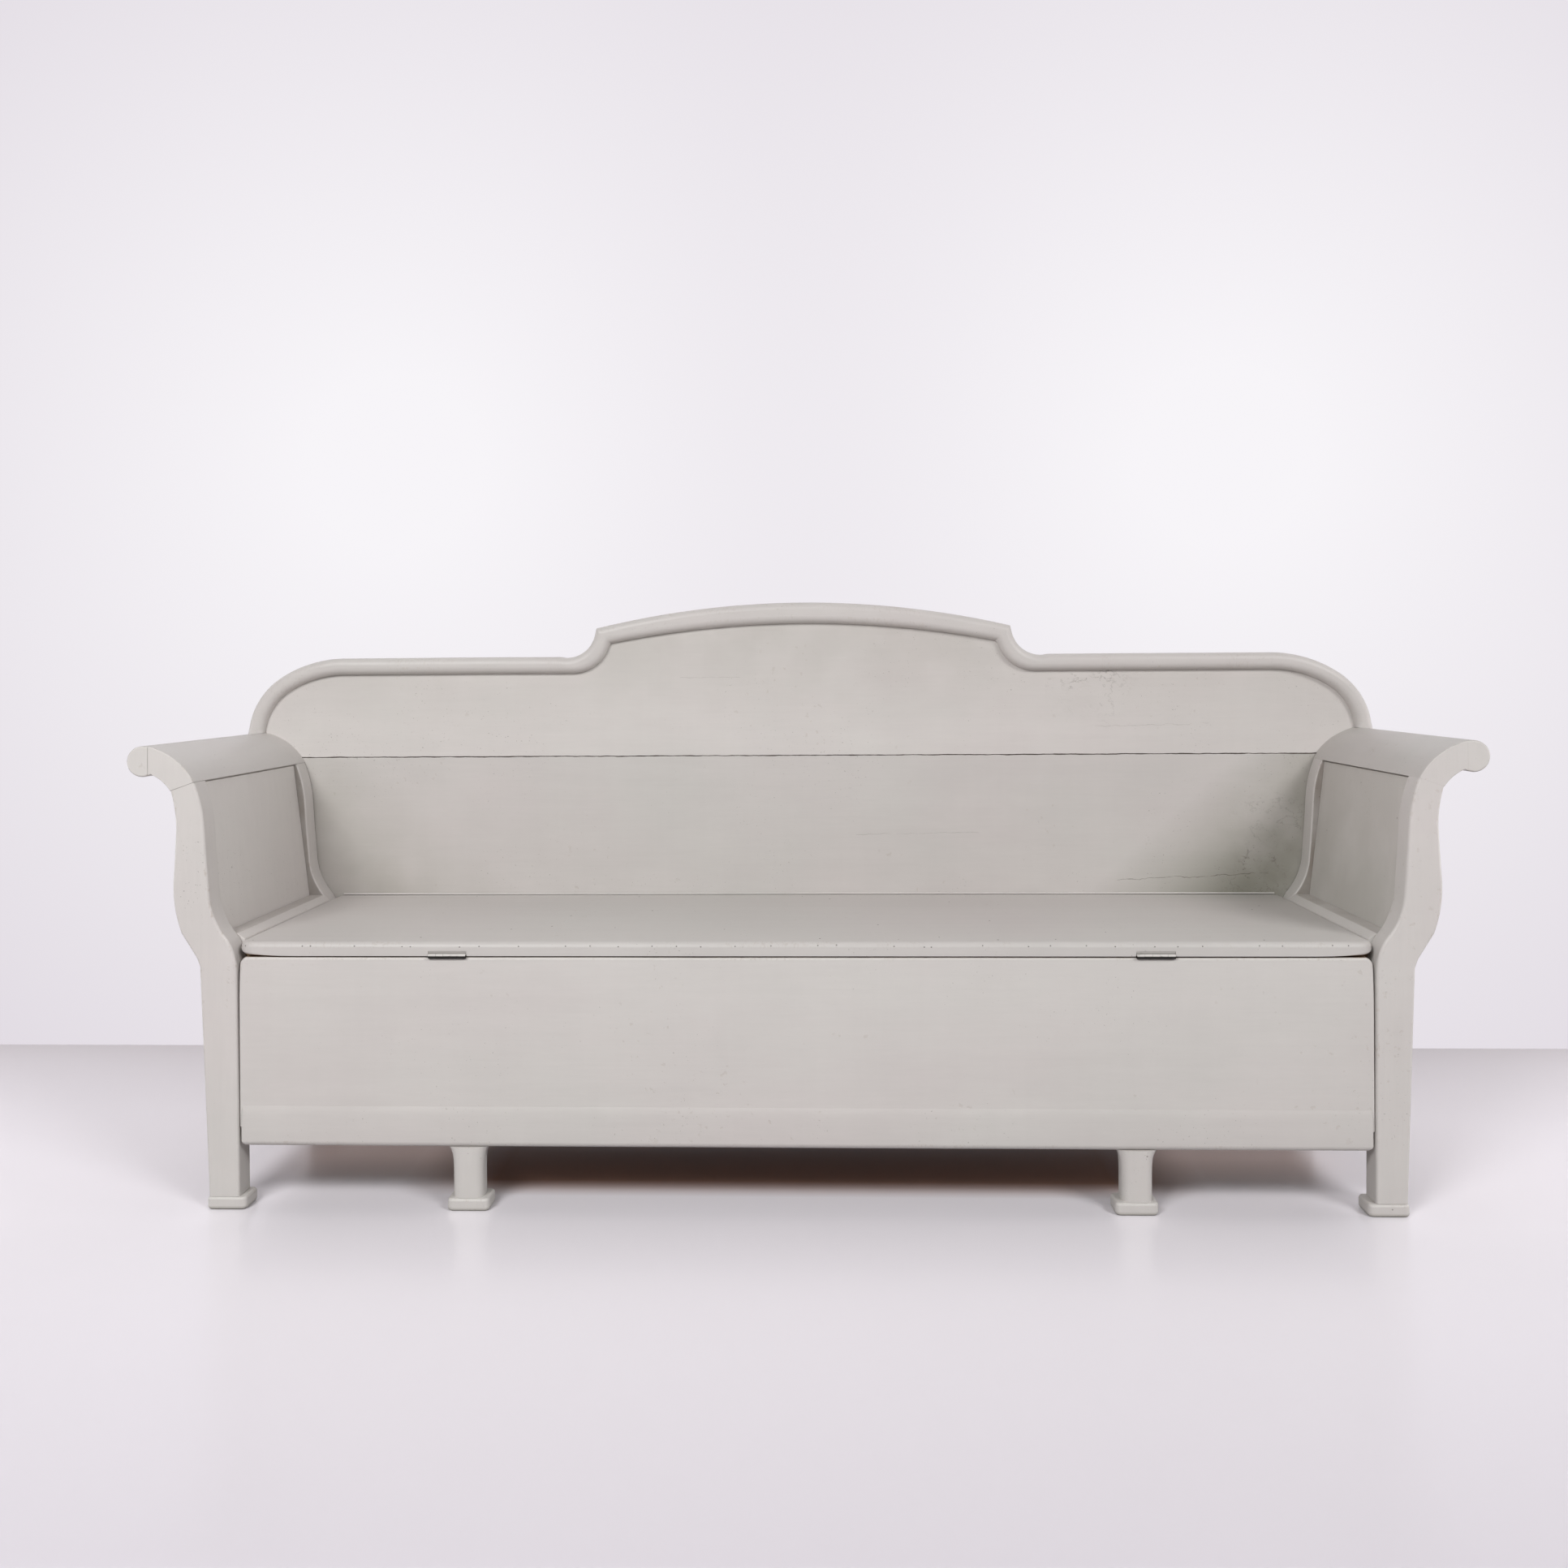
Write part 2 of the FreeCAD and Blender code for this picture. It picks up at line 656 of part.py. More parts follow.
def build_pull_out():
    """The front that pulls out: board, rail, legs, sides and the moving half of the slats."""
    pieces = []
    half, top, radius = front_board_half, front_board_top, s["front_corner_radius"]
    seat = s["underside_height"] + s["front_board_seat"]
    inset = radius * (1 - math.sqrt(0.5))
    board_steps = [
        (half, seat),
        (half, top - radius),
        (half - inset, top - inset, half - radius, top),
        (-half + radius, top),
        (-half + inset, top - inset, -half, top - radius),
        (-half, seat),
    ]
    front_board = shaped("front_board", "XZ_Plane", board_steps, s["front_board_thickness"])
    place(front_board, y=s["front_board_set_back"])
    pieces.append(front_board)

    foot = s["underside_height"]
    rail_top = foot + s["front_rail_height"]
    rail_half = half_opening - s["front_rail_end_gap"]
    rail_steps = [
        (ZERO, foot),
        (s["front_rail_depth"], foot),
        (s["front_rail_depth"], slat_floor),
        (front_board_rear, slat_floor),
        (front_board_rear, seat),
        (s["front_board_set_back"], seat),
        (s["front_board_set_back"], rail_top + s["front_rail_slope"]),
        (ZERO, rail_top),
    ]
    rail = shaped("front_rail_blank", "YZ_Plane", rail_steps, rail_half * 2)
    place(rail, x=-rail_half)
    mortises = []
    for word, side in (("left", -1), ("right", 1)):
        near_side = s["middle_leg_out"] - s["tenon_width"] / 2
        mortises.append(mirrored_board(f"leg_mortise_{word}", side, near_side, s["tenon_set_back"],
                                       foot - s["overrun"], s["tenon_width"], s["tenon_thickness"],
                                       s["tenon_length"] + s["overrun"]))
    pieces.append(cut("front_rail", rail, mortises))

    leg_half, flare, drop = s["middle_leg_width"] / 2, s["middle_leg_flare"], s["middle_leg_flare_drop"]
    pad_half = s["middle_pad_width"] / 2
    centre = s["middle_leg_out"]
    bend_share = 0.3
    leg_steps = [
        (centre + leg_half, s["pad_height"]),
        (centre + leg_half, foot - drop),
        (centre + leg_half + flare * bend_share, foot - drop * bend_share, centre + leg_half + flare, foot),
        (centre - leg_half - flare, foot),
        (centre - leg_half - flare * bend_share, foot - drop * bend_share, centre - leg_half, foot - drop),
        (centre - leg_half, s["pad_height"]),
    ]
    for word, side in (("left", -1), ("right", 1)):
        leg = shaped(f"leg_blank_{word}", "XZ_Plane", leg_steps, s["post_depth"], side < 0)
        place(leg)
        tenon = mirrored_board(f"leg_tenon_{word}", side, centre - s["tenon_width"] / 2, s["tenon_set_back"],
                               foot - s["overrun"], s["tenon_width"], s["tenon_thickness"],
                               s["tenon_length"] + s["overrun"])
        pieces.append(fused(f"middle_leg_{word}", [leg, tenon]))
        pad_depth = s["post_depth"] + s["pad_reach"] * 2
        pieces.append(mirrored_board(f"middle_foot_{word}", side, centre - pad_half, -s["pad_reach"], ZERO,
                                     pad_half * 2, pad_depth, s["pad_height"]))
        side_length = s["frame_depth"] - s["board_thickness"] - s["crossbar_gap"] - front_board_rear
        side_foot = slat_floor + s["slat_thickness"]
        pieces.append(mirrored_board(f"drawer_side_{word}", side,
                                     drawer_side_outer - s["drawer_side_thickness"], front_board_rear,
                                     side_foot, s["drawer_side_thickness"], side_length,
                                     ledge_foot - s["drawer_side_drop"] - side_foot))

    slats = []
    for number in range(MOVING_SLATS):
        middle = slat_centre(number, MOVING_SLATS)
        slats.append(board(f"moving_slat_{number + 1}", middle - slat_width / 2, front_board_rear,
                           slat_floor, slat_width, side_length, s["slat_thickness"]))
    pieces.append(group("moving_slats", slats))
    crossbar_y = front_board_rear + side_length - s["stretcher_thickness"]
    pieces.append(board("slat_crossbar", -drawer_side_outer, crossbar_y, slat_floor - s["crossbar_height"],
                        drawer_side_outer * 2, s["stretcher_thickness"], s["crossbar_height"]))
    return pieces


def build_lid():
    """The seat: one wide board with rounded front corners, recessed for the hinges, and two battens."""
    half = half_opening - s["lid_side_gap"]
    radius = s["lid_corner_radius"]
    depth = s["frame_depth"] - s["lid_rear_gap"] - s["lid_set_back"]
    inset = radius * (1 - math.sqrt(0.5))
    steps = [
        (half, depth),
        (-half, depth),
        (-half, radius),
        (-half + inset, inset, -half + radius, ZERO),
        (half - radius, ZERO),
        (half - inset, inset, half, radius),
    ]
    blank = shaped("seat_blank", "XY_Plane", steps, s["lid_thickness"])
    place(blank, y=s["lid_set_back"], z=lid_foot)
    recesses = []
    recess_length = s["hinge_length"] + s["recess_end_gap"] * 2
    for word, side in (("left", -1), ("right", 1)):
        near_side = s["hinge_out"] - recess_length / 2
        recesses.append(mirrored_board(f"hinge_recess_{word}", side, near_side,
                                       s["lid_set_back"] - s["overrun"], lid_foot - s["overrun"],
                                       recess_length, s["recess_depth"] + s["overrun"],
                                       s["recess_height"] + s["overrun"]))
    pieces = [cut("seat_board", blank, recesses)]
    batten_y = s["lid_set_back"] + s["lid_batten_inset"]
    batten_length = depth - s["lid_batten_inset"] * 2
    for word, side in (("left", -1), ("right", 1)):
        near_side = s["lid_batten_out"] - s["lid_batten_width"] / 2
        pieces.append(mirrored_board(f"lid_batten_{word}", side, near_side, batten_y,
                                     lid_foot - s["lid_batten_thickness"], s["lid_batten_width"],
                                     batten_length, s["lid_batten_thickness"]))
    return pieces


def leaf(name, side, numbers, plate_foot, upwards):
    """One leaf of a butt hinge with its share of the knuckles, bored for the pin."""
    start = side * s["hinge_out"] - s["hinge_length"] / 2
    pitch = (s["hinge_length"] + s["knuckle_gap"]) / KNUCKLES
    length = pitch - s["knuckle_gap"]
    plate_y = s["hinge_set_back"] + s["barrel_radius"] + s["leaf_gap"]
    plate_width = s["leaf_width"] - s["barrel_radius"] - s["leaf_gap"]
    parts = [board(f"{name}_plate", start, plate_y, plate_foot, s["hinge_length"], plate_width,
                   leaf_thickness)]
    for number in numbers:
        x = start + pitch * number
        parts.append(rod(f"{name}_knuckle_{number}", x, s["hinge_set_back"], hinge_height,
                         s["barrel_radius"], length))
        parts.append(board(f"{name}_tongue_{number}", x, s["hinge_set_back"], plate_foot, length,
                           s["barrel_radius"] + s["leaf_gap"] * 2, leaf_thickness))
    tools = [rod(f"{name}_bore", start - s["overrun"], s["hinge_set_back"], hinge_height,
                 s["pin_radius"] + s["pin_play"], s["hinge_length"] + s["overrun"] * 2)]
    for number in range(SCREWS_PER_LEAF):
        tools.append(screw_head(f"{name}_hole_{number + 1}", side, number, plate_foot, upwards))
    return cut(name, fused(f"{name}_blank", parts), tools)


def screw_place(side, number):
    """Where a screw stands on its leaf."""
    pitch = s["hinge_length"] / SCREWS_PER_LEAF
    x = side * s["hinge_out"] + pitch * (number - (SCREWS_PER_LEAF - 1) / 2)
    y = s["hinge_set_back"] + s["barrel_radius"] + s["leaf_gap"]
    y = y + (s["leaf_width"] - s["barrel_radius"] - s["leaf_gap"]) / 2
    return x, y


def upright_rod(label, x, y, z, radius, height):
    piece = doc.addObject("Part::Cylinder", label)
    bind(piece, "Radius", radius)
    bind(piece, "Height", height)
    place(piece, x, y, z)
    return piece


def screw_head(label, side, number, plate_foot, upwards):
    """The conical head of a screw, or the countersink for it, through the thickness of the leaf."""
    x, y = screw_place(side, number)
    piece = doc.addObject("Part::Cone", label)
    wide, narrow = ("Radius1", "Radius2") if upwards else ("Radius2", "Radius1")
    bind(piece, wide, s["screw_head_radius"])
    bind(piece, narrow, s["screw_radius"])
    bind(piece, "Height", leaf_thickness)
    place(piece, x, y, plate_foot)
    return piece


def screw(label, side, number, plate_foot, upwards):
    """A screw with its conical head let into its leaf and its shank in the wood."""
    x, y = screw_place(side, number)
    if upwards:
        shank_foot = plate_foot + leaf_thickness
    else:
        shank_foot = plate_foot - s["screw_length"]
    shank = upright_rod(f"{label}_shank", x, y, shank_foot, s["screw_radius"], s["screw_length"])
    return fused(label, [shank, screw_head(f"{label}_head", side, number, plate_foot, upwards)])


def build_hinges():
    """The two butt hinges: a leaf on the front board, a leaf under the lid, and a pin in each."""
    lower_foot = front_board_top
    upper_foot = lid_foot - leaf_thickness
    lower, upper, pins, lower_screws, upper_screws = [], [], [], [], []
    for word, side in (("left", -1), ("right", 1)):
        lower.append(leaf(f"lower_leaf_{word}", side, range(0, KNUCKLES, 2), lower_foot, False))
        upper.append(leaf(f"upper_leaf_{word}", side, range(1, KNUCKLES, 2), upper_foot, True))
        start = side * s["hinge_out"] - s["hinge_length"] / 2
        pins.append(rod(f"pin_{word}", start, s["hinge_set_back"], hinge_height, s["pin_radius"],
                        s["hinge_length"]))
        for number in range(SCREWS_PER_LEAF):
            lower_screws.append(screw(f"lower_screw_{word}_{number}", side, number, lower_foot, False))
            upper_screws.append(screw(f"upper_screw_{word}_{number}", side, number, upper_foot, True))
    return [
        group("hinge_leaves_lower", lower),
        group("hinge_leaves_upper", upper),
        group("hinge_pins", pins),
        group("hinge_screws_lower", lower_screws),
        group("hinge_screws_upper", upper_screws),
    ]


def write_pieces(pieces):
    """Check every object and every solid, then write one file for each piece."""
    doc.recompute()
    for item in doc.Objects:
        if "Invalid" in item.State or "Error" in item.State:
            raise RuntimeError(f"{item.Label} did not build: {item.State}")
    for piece in pieces:
        if piece.Shape.isNull() or not piece.Shape.isValid() or not piece.Shape.Solids:
            raise RuntimeError(f"{piece.Label} has no sound solid")
    for piece in pieces:
        piece.Shape.exportStep(os.path.join("parts", piece.Label + ".step"))
        box = piece.Shape.BoundBox
        print(f"{piece.Label}: {len(piece.Shape.Solids)} solid, {piece.Shape.Volume / 1000:.1f} cm3, "
              f"x {box.XMin:.1f} to {box.XMax:.1f}, y {box.YMin:.1f} to {box.YMax:.1f}, "
              f"z {box.ZMin:.1f} to {box.ZMax:.1f}")


all_pieces = build_arm(-1, "left") + build_arm(1, "right")
all_pieces += build_back()
all_pieces += build_bottom()
all_pieces += build_pull_out()
all_pieces += build_lid()
all_pieces += build_hinges()
write_pieces(all_pieces)
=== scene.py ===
import bmesh
import bpy
import math
from mathutils import Matrix, Vector, noise


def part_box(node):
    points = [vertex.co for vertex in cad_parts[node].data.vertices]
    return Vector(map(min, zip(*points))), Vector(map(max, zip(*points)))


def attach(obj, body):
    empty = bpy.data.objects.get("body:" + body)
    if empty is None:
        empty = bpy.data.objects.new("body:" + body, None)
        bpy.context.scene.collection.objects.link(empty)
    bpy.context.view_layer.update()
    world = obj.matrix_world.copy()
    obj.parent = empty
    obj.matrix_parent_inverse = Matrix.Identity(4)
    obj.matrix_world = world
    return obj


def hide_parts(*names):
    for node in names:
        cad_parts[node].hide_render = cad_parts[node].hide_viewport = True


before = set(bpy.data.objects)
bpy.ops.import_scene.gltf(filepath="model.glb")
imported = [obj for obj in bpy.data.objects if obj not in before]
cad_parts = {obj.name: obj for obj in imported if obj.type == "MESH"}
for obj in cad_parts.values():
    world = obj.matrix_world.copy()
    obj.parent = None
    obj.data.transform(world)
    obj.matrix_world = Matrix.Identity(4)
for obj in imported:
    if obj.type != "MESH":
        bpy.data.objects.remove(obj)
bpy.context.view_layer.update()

# The looks of a painted pull-out bench bed: worn copies of the boards, round beads, old satin paint.
# All lengths are in metres. +X runs along the bench, +Y to its back, +Z up.

MM = 0.001
X, Y, Z = range(3)

# Blender seeds its noise by the clock, so a fixed seed keeps the old boards the same in every run
noise.seed_set(28)

# An edge sharper than this is an arris to round, or is shaded as an edge
ARRIS_ANGLE = math.radians(28)
SHARP_ANGLE = math.radians(32)

# Shared places of the bench
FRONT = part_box("front_post_right")[0].y
BACK_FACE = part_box("back_board_middle")[0].y
LID_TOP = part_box("seat_board")[1].z
LID_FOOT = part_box("seat_board")[0].z
BOARD_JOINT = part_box("back_board_middle")[1].z
ARM_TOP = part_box("arm_roll_right")[1].z
ROLL_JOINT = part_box("arm_roll_right")[0].x
RAIL_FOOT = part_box("front_rail")[0].z
JOINT_INNER = Vector((0.975, 0, 0.6889))
JOINT_OUTER = Vector((1.014, 0, 0.6749))
RECESS_NEAR = 0.530
RECESS_FAR = 0.599


class Wire:
    """The output of a node, which can be added, multiplied and so on like a number."""

    def __init__(self, finish, socket):
        self.finish = finish
        self.socket = socket

    def maths(self, operation, *others):
        return self.finish.add("ShaderNodeMath", {"operation": operation}, (self,) + others)

    def __add__(self, other):
        return self.maths("ADD", other)

    def __sub__(self, other):
        return self.maths("SUBTRACT", other)

    def __mul__(self, other):
        return self.maths("MULTIPLY", other)

    def __rsub__(self, other):
        return self.finish.add("ShaderNodeMath", {"operation": "SUBTRACT"}, (other, self))

    __radd__ = __add__
    __rmul__ = __mul__

    def magnitude(self):
        return self.maths("ABSOLUTE")

    def between(self, low, high):
        """0 below low, 1 above high and even in between, or the other way round where low is the larger."""
        return self.finish.add("ShaderNodeMapRange", {"clamp": True},
                               {"Value": self, "From Min": low, "From Max": high})


class Finish:
    """A material under construction."""

    def __init__(self, name):
        self.material = bpy.data.materials.new(name)
        self.material.use_nodes = True
        self.tree = self.material.node_tree
        self.tree.nodes.clear()
        self.spot = self.add("ShaderNodeTexCoord", {}, {}, "Object")
        split = self.tree.nodes.new("ShaderNodeSeparateXYZ")
        self.tree.links.new(self.spot.socket, split.inputs[0])
        self.x, self.y, self.z = (Wire(self, output) for output in split.outputs)

    def add(self, kind, settings, values, output=0):
        """Any node, from its type, its settings and the values or links of its sockets."""
        node = self.tree.nodes.new(kind)
        for name, value in settings.items():
            setattr(node, name, value)
        sockets = values.items() if isinstance(values, dict) else enumerate(values)
        for key, value in sockets:
            if isinstance(value, Wire):
                self.tree.links.new(value.socket, node.inputs[key])
            else:
                node.inputs[key].default_value = value
        return Wire(self, node.outputs[output])

    def stretched(self, stretch, shift=0.0):
        """Object coordinates times a stretch along each axis, moved to another part of the pattern."""
        return self.add("ShaderNodeVectorMath", {"operation": "MULTIPLY_ADD"},
                        (self.spot, stretch, (shift, shift, shift)))

    def away_from(self, place):
        """How far each point is from a place."""
        return self.add("ShaderNodeVectorMath", {"operation": "DISTANCE"}, (self.spot, place), 1)

    def cloud(self, stretch, detail=3.0, shift=0.0, roughness=0.5, distortion=0.0):
        """Noise with its own scale along each axis."""
        return self.add("ShaderNodeTexNoise", {}, {
            "Vector": self.stretched(stretch, shift), "Scale": 1.0, "Detail": detail,
            "Roughness": roughness, "Distortion": distortion})

    def cells(self, stretch, shift):
        """The distance to the nearest of many scattered points."""
        return self.add("ShaderNodeTexVoronoi", {"feature": "F1"},
                        {"Vector": self.stretched(stretch, shift), "Scale": 1.0}, "Distance")

    def tint(self, factor, low, high, kind="MIX"):
        """A colour mixed from two colours by a factor."""
        return self.add("ShaderNodeMix", {"data_type": "RGBA", "blend_type": kind},
                        {0: factor, 6: low, 7: high}, 2)

    def mask(self, name):
        """How worn or how dirty each face is by the mesh, from 0 to 1."""
        return self.add("ShaderNodeAttribute", {"attribute_name": name}, {}, "Fac")

    def crack(self, along, across, start, stop, width, wander, steady=0.0, shift=0.0):
        """A fine jagged crack that runs from start to stop, each an (along, across) place."""
        slope = (stop[1] - start[1]) / (stop[0] - start[0])
        low, high = sorted((start[0], stop[0]))
        jitter = self.cloud((45, 45, 45), 4.0, shift) - 0.5
        line = (across - start[1]) - (along - start[0]) * slope + jitter * (wander * 2)
        thin = self.cloud((38, 38, 38), 3.0, shift + 5.0).between(0.36, 0.66) * (1 - steady) + steady
        near = (line.magnitude() - thin * width).between(0.25 * MM, 0.0) * thin.between(0.0, 0.15)
        ends = along.between(low, low + 4 * MM) * along.between(high, high - 4 * MM)
        return near * ends

    def close(self, colour, roughness, bump, **constants):
        """Finish the material with its shader."""
        shader = self.tree.nodes.new("ShaderNodeBsdfPrincipled")
        for name, value in {"Base Color": colour, "Roughness": roughness, "Normal": bump}.items():
            self.tree.links.new(value.socket, shader.inputs[name])
        for name, value in constants.items():
            shader.inputs[name].default_value = value
        end = self.tree.nodes.new("ShaderNodeOutputMaterial")
        self.tree.links.new(shader.outputs[0], end.inputs["Surface"])
        return self.material


# Colours of the paint, of what shows beneath it, of dirt and grime, and of painted shade
PAINT_COOL = (0.610, 0.585, 0.558, 1)
PAINT_ROSE = (0.613, 0.571, 0.552, 1)
PAINT_WORN = (0.270, 0.185, 0.115, 1)
SHADE_TONE = (0.240, 0.235, 0.185, 1)
OLD_DIRT = (0.050, 0.033, 0.022, 1)
GRIME_AND_SHADE = (0.200, 0.160, 0.120, 1)

# How often each pattern repeats along the three axes, where the wood runs along one of them
GRAIN = {"x": (1.6, 46, 46), "y": (46, 1.6, 46), "z": (46, 46, 1.6)}
STROKE = {"x": (15, 190, 190), "y": (190, 15, 190), "z": (190, 190, 15)}
SWEEP = {"x": (60, 60, 3), "y": (60, 60, 3), "z": (3, 3, 60)}
DRIP = {"x": (24, 24, 90), "y": (24, 24, 90), "z": (60, 60, 20)}


def old_paint(name, grain, cracks=(), dents=0.0, peeling=None, shade_to=None, tone=1.0, grime=0.0,
              nail_row=None):
    """Several coats of satin oil paint on planed pine, brushed along the grain.

    Each crack is as listed below. peeling is a centre and a reach. shade_to is an axis, where on it the
    painted darkening starts and where it is full, and how strong it is. nail_row is the heads to a metre and
    their height.
    """
    paint = Finish(name)
    axes = {"x": paint.x, "y": paint.y, "z": paint.z}
    patches = paint.cloud((1.7, 1.7, 2.6), 4.0, 11.0, 0.6).between(0.38, 0.66)
    colour = paint.tint(patches, PAINT_COOL, PAINT_ROSE)
    shade = paint.cloud((5, 5, 7), 4.0, 23.0, 0.6)
    strokes = paint.cloud(STROKE[grain], 4.0, 3.0, 0.7, 0.3)
    sweeps = paint.cloud(SWEEP[grain], 2.0, 19.0, 0.5)
    rings = paint.cloud(GRAIN[grain], 3.0, 7.0, 0.55, 0.4)
    level = (shade - 0.5) * 0.10 + (strokes - 0.5) * 0.06 + (sweeps - 0.5) * 0.02
    level = level + (rings - 0.5) * 0.05 + tone
    grey = paint.add("ShaderNodeCombineColor", {}, (level, level, level))
    colour = paint.tint(1.0, colour, grey, "MULTIPLY")

    # Arrises where the coats are rubbed through, chips and specks
    rubbed = paint.cloud((210, 210, 90), 4.0, 31.0, 0.65).between(0.52, 0.62)
    places = paint.cloud((8, 8, 8), 2.0, 37.0).between(0.50, 0.62)
    worn = paint.mask("arris") * rubbed * places
    spots = paint.cloud((6, 6, 6), 2.0, 41.0).between(0.56, 0.62)
    chips = paint.cloud((80, 80, 80), 3.0, 2.0).between(0.665, 0.69) * spots
    specks = paint.cloud((330, 330, 330), 1.0, 47.0).between(0.735, 0.76)
    specks = specks * paint.cloud((7, 7, 7), 2.0, 53.0).between(0.5, 0.6)
    dark = (specks * 0.45).maths("MAXIMUM", paint.mask("seam"))
    if dents:
        holes = paint.cells((24, 14, 24), 8.0).between(0.040, 0.028)
        dark = dark.maths("MAXIMUM", holes * dents)
    if nail_row:
        pace, height = nail_row
        beat = paint.add("ShaderNodeTexVoronoi", {"voronoi_dimensions": "1D"},
                         {"W": paint.x * pace, "Scale": 1.0}, "Distance")
        sway = (paint.cloud((9, 9, 9), 1.0, 83.0) - 0.5) * (7 * MM)
        row = (paint.z - height + sway).magnitude().between(1.1 * MM, 0.5 * MM)
        dark = dark.maths("MAXIMUM", beat.between(0.026, 0.012) * row * 0.8)
    for number, (along, across, begin, end, width, wander, steady, depth) in enumerate(cracks):
        line = paint.crack(axes[along], axes[across], begin, end, width, wander, steady, number * 3.7)
        dark = dark.maths("MAXIMUM", line * depth)

    # Sags, brush ridges and lifted edges stand up a little
    ridge = paint.cloud(DRIP[grain], 2.0, 59.0, 0.4)
    relief = shade * 0.5 + rings * 0.30 + strokes * 0.16 + sweeps * 0.14 + ridge * 0.25
    if peeling:
        centre, reach = peeling
        ragged = paint.away_from(centre) + paint.cloud((14, 14, 14), 3.0, 61.0) * 0.16
        region = ragged.between(reach + 0.08, reach)
        field = paint.cloud((26, 26, 38), 5.0, 67.0, 0.65)
        edge = (field - 0.53).magnitude().between(0.014, 0.003)
        edge = edge * paint.cloud((17, 17, 17), 2.0, 73.0).between(0.48, 0.56)
        dark = dark.maths("MAXIMUM", edge * region * 0.45)
        relief = relief + field.between(0.525, 0.535) * region * 0.9
    colour = paint.tint((worn * 0.40).maths("MAXIMUM", chips * 0.12), colour, PAINT_WORN)
    if shade_to:
        # Darker along an axis; in the lower corners under the arms it is painted shade from the arms, the
        # right one most
        axis, unshaded_end, shaded_end, strength = shade_to
        corners = axis == "corners"
        place = paint.x.magnitude() - paint.z * 1.1 if corners else axes[axis]
        band = place.between(unshaded_end, shaded_end) * paint.cloud((8, 8, 8), 3.0, 71.0).between(0.0, 0.55)
        if corners:
            band = band * (paint.x.between(-0.10, 0.10) * 0.45 + 0.55)
        colour = paint.tint(band * strength, colour, SHADE_TONE)
    # Smears of grime, which in the shelf, corner and recess paints are painted shade too
    if grime:
        smears = paint.cloud((17, 17, 17), 4.0, 79.0).between(0.10, 0.75)
        colour = paint.tint(smears * grime, colour, GRIME_AND_SHADE)
    colour = paint.tint(dark, colour, OLD_DIRT)
    rough = shade * 0.16 + strokes * 0.10 + worn * 0.15 + 0.33
    height = relief - dark * 1.3 - chips * 0.35
    bump = paint.add("ShaderNodeBump", {}, {"Strength": 0.5, "Distance": 1.1 * MM, "Height": height})
    return paint.close(colour, rough, bump)


def old_pine(name, grain, tone, shift=0.0, warmth=1.0):
    """Planed pine that was never painted, browned by age, with growth rings and a few knots."""
    wood = Finish(name)
    rings = wood.cloud(GRAIN[grain], 5.0, 3.0 + shift, 0.6, 1.2)
    fine = wood.cloud(STROKE[grain], 3.0, 9.0 + shift)
    spread = tuple(share * (0.11 if share > 5 else 1.6) for share in GRAIN[grain])
    knots = wood.cells(spread, 5.0 + shift).between(0.065, 0.035)
    stain = wood.cloud((3, 3, 3), 4.0, 15.0)
    light = tuple(tone * share ** warmth for share in (0.62, 0.44, 0.27)) + (1,)
    deep = tuple(tone * share ** warmth for share in (0.38, 0.22, 0.11)) + (1,)
    colour = wood.tint((rings * 0.8 + fine * 0.3).between(0.35, 0.75), light, deep)
    colour = wood.tint(knots * 0.7, colour, (0.10 * tone, 0.05 * tone, 0.025 * tone, 1))
    colour = wood.tint(stain.between(0.45, 0.8) * 0.5, colour, deep)
    colour = wood.tint(wood.mask("seam") * 0.8, colour, OLD_DIRT)
    height = rings * 0.6 + fine * 0.4
    bump = wood.add("ShaderNodeBump", {}, {"Strength": 0.4, "Distance": 0.6 * MM, "Height": height})
    return wood.close(colour, fine * 0.2 + 0.55, bump)


def aged_iron(name, painted):
    """Wrought iron, dark and rusty, or under the bench's own paint and dark where the gap shades it."""
    iron = Finish(name)
    rust = iron.cloud((90, 90, 90), 5.0, 3.0, 0.65)
    colour = iron.tint(rust.between(0.4, 0.65), (0.035, 0.03, 0.026, 1), (0.085, 0.045, 0.025, 1))
    if painted:
        coat = iron.cloud((45, 110, 110), 4.0, 9.0).between(0.33, 0.38)
        open_side = iron.z.between(LID_FOOT + 0.5 * MM, LID_FOOT + 1.3 * MM)
        colour = iron.tint(coat * open_side, (0.012, 0.009, 0.007, 1), PAINT_COOL)
    bump = iron.add("ShaderNodeBump", {}, {"Strength": 0.5, "Distance": 0.3 * MM, "Height": rust})
    return iron.close(colour, rust * 0.3 + 0.5, bump, Metallic=0.0 if painted else 0.7)


def copied(*nodes, inner_wall=None):
    """A bmesh of CAD nodes with doubles merged, walls between them opened and flat faces made whole."""
    bm = bmesh.new()
    for node in nodes:
        bm.from_mesh(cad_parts[node].data)
    bmesh.ops.remove_doubles(bm, verts=bm.verts, dist=0.02 * MM)
    if inner_wall:
        walls = [face for face in bm.faces if all(inner_wall(vert) for vert in face.verts)]
        bmesh.ops.delete(bm, geom=walls, context="FACES")
    bmesh.ops.dissolve_limit(bm, angle_limit=math.radians(0.3), verts=bm.verts, edges=bm.edges)
    bm.faces.layers.float.new("arris")
    bm.faces.layers.float.new("seam")
    return bm


def middle_of(edge):
    return (edge.verts[0].co + edge.verts[1].co) / 2


def eased(bm, radius, chosen=lambda edge: True, segments=3, worn=1.0, grime=0.0, clamped=True):
    """Round the chosen arrises of a board. They wear bright in the open and hold grime in a joint."""
    arris = bm.faces.layers.float["arris"]
    seam = bm.faces.layers.float["seam"]
    edges = [edge for edge in bm.edges
             if len(edge.link_faces) == 2 and edge.calc_face_angle(0) > ARRIS_ANGLE and chosen(edge)]
    made = bmesh.ops.bevel(bm, geom=edges, offset=radius, offset_type="OFFSET", affect="EDGES",
                           segments=segments, profile=0.5, material=-1, clamp_overlap=clamped)
    for face in made["faces"]:
        face[arris] = worn
        face[seam] = grime


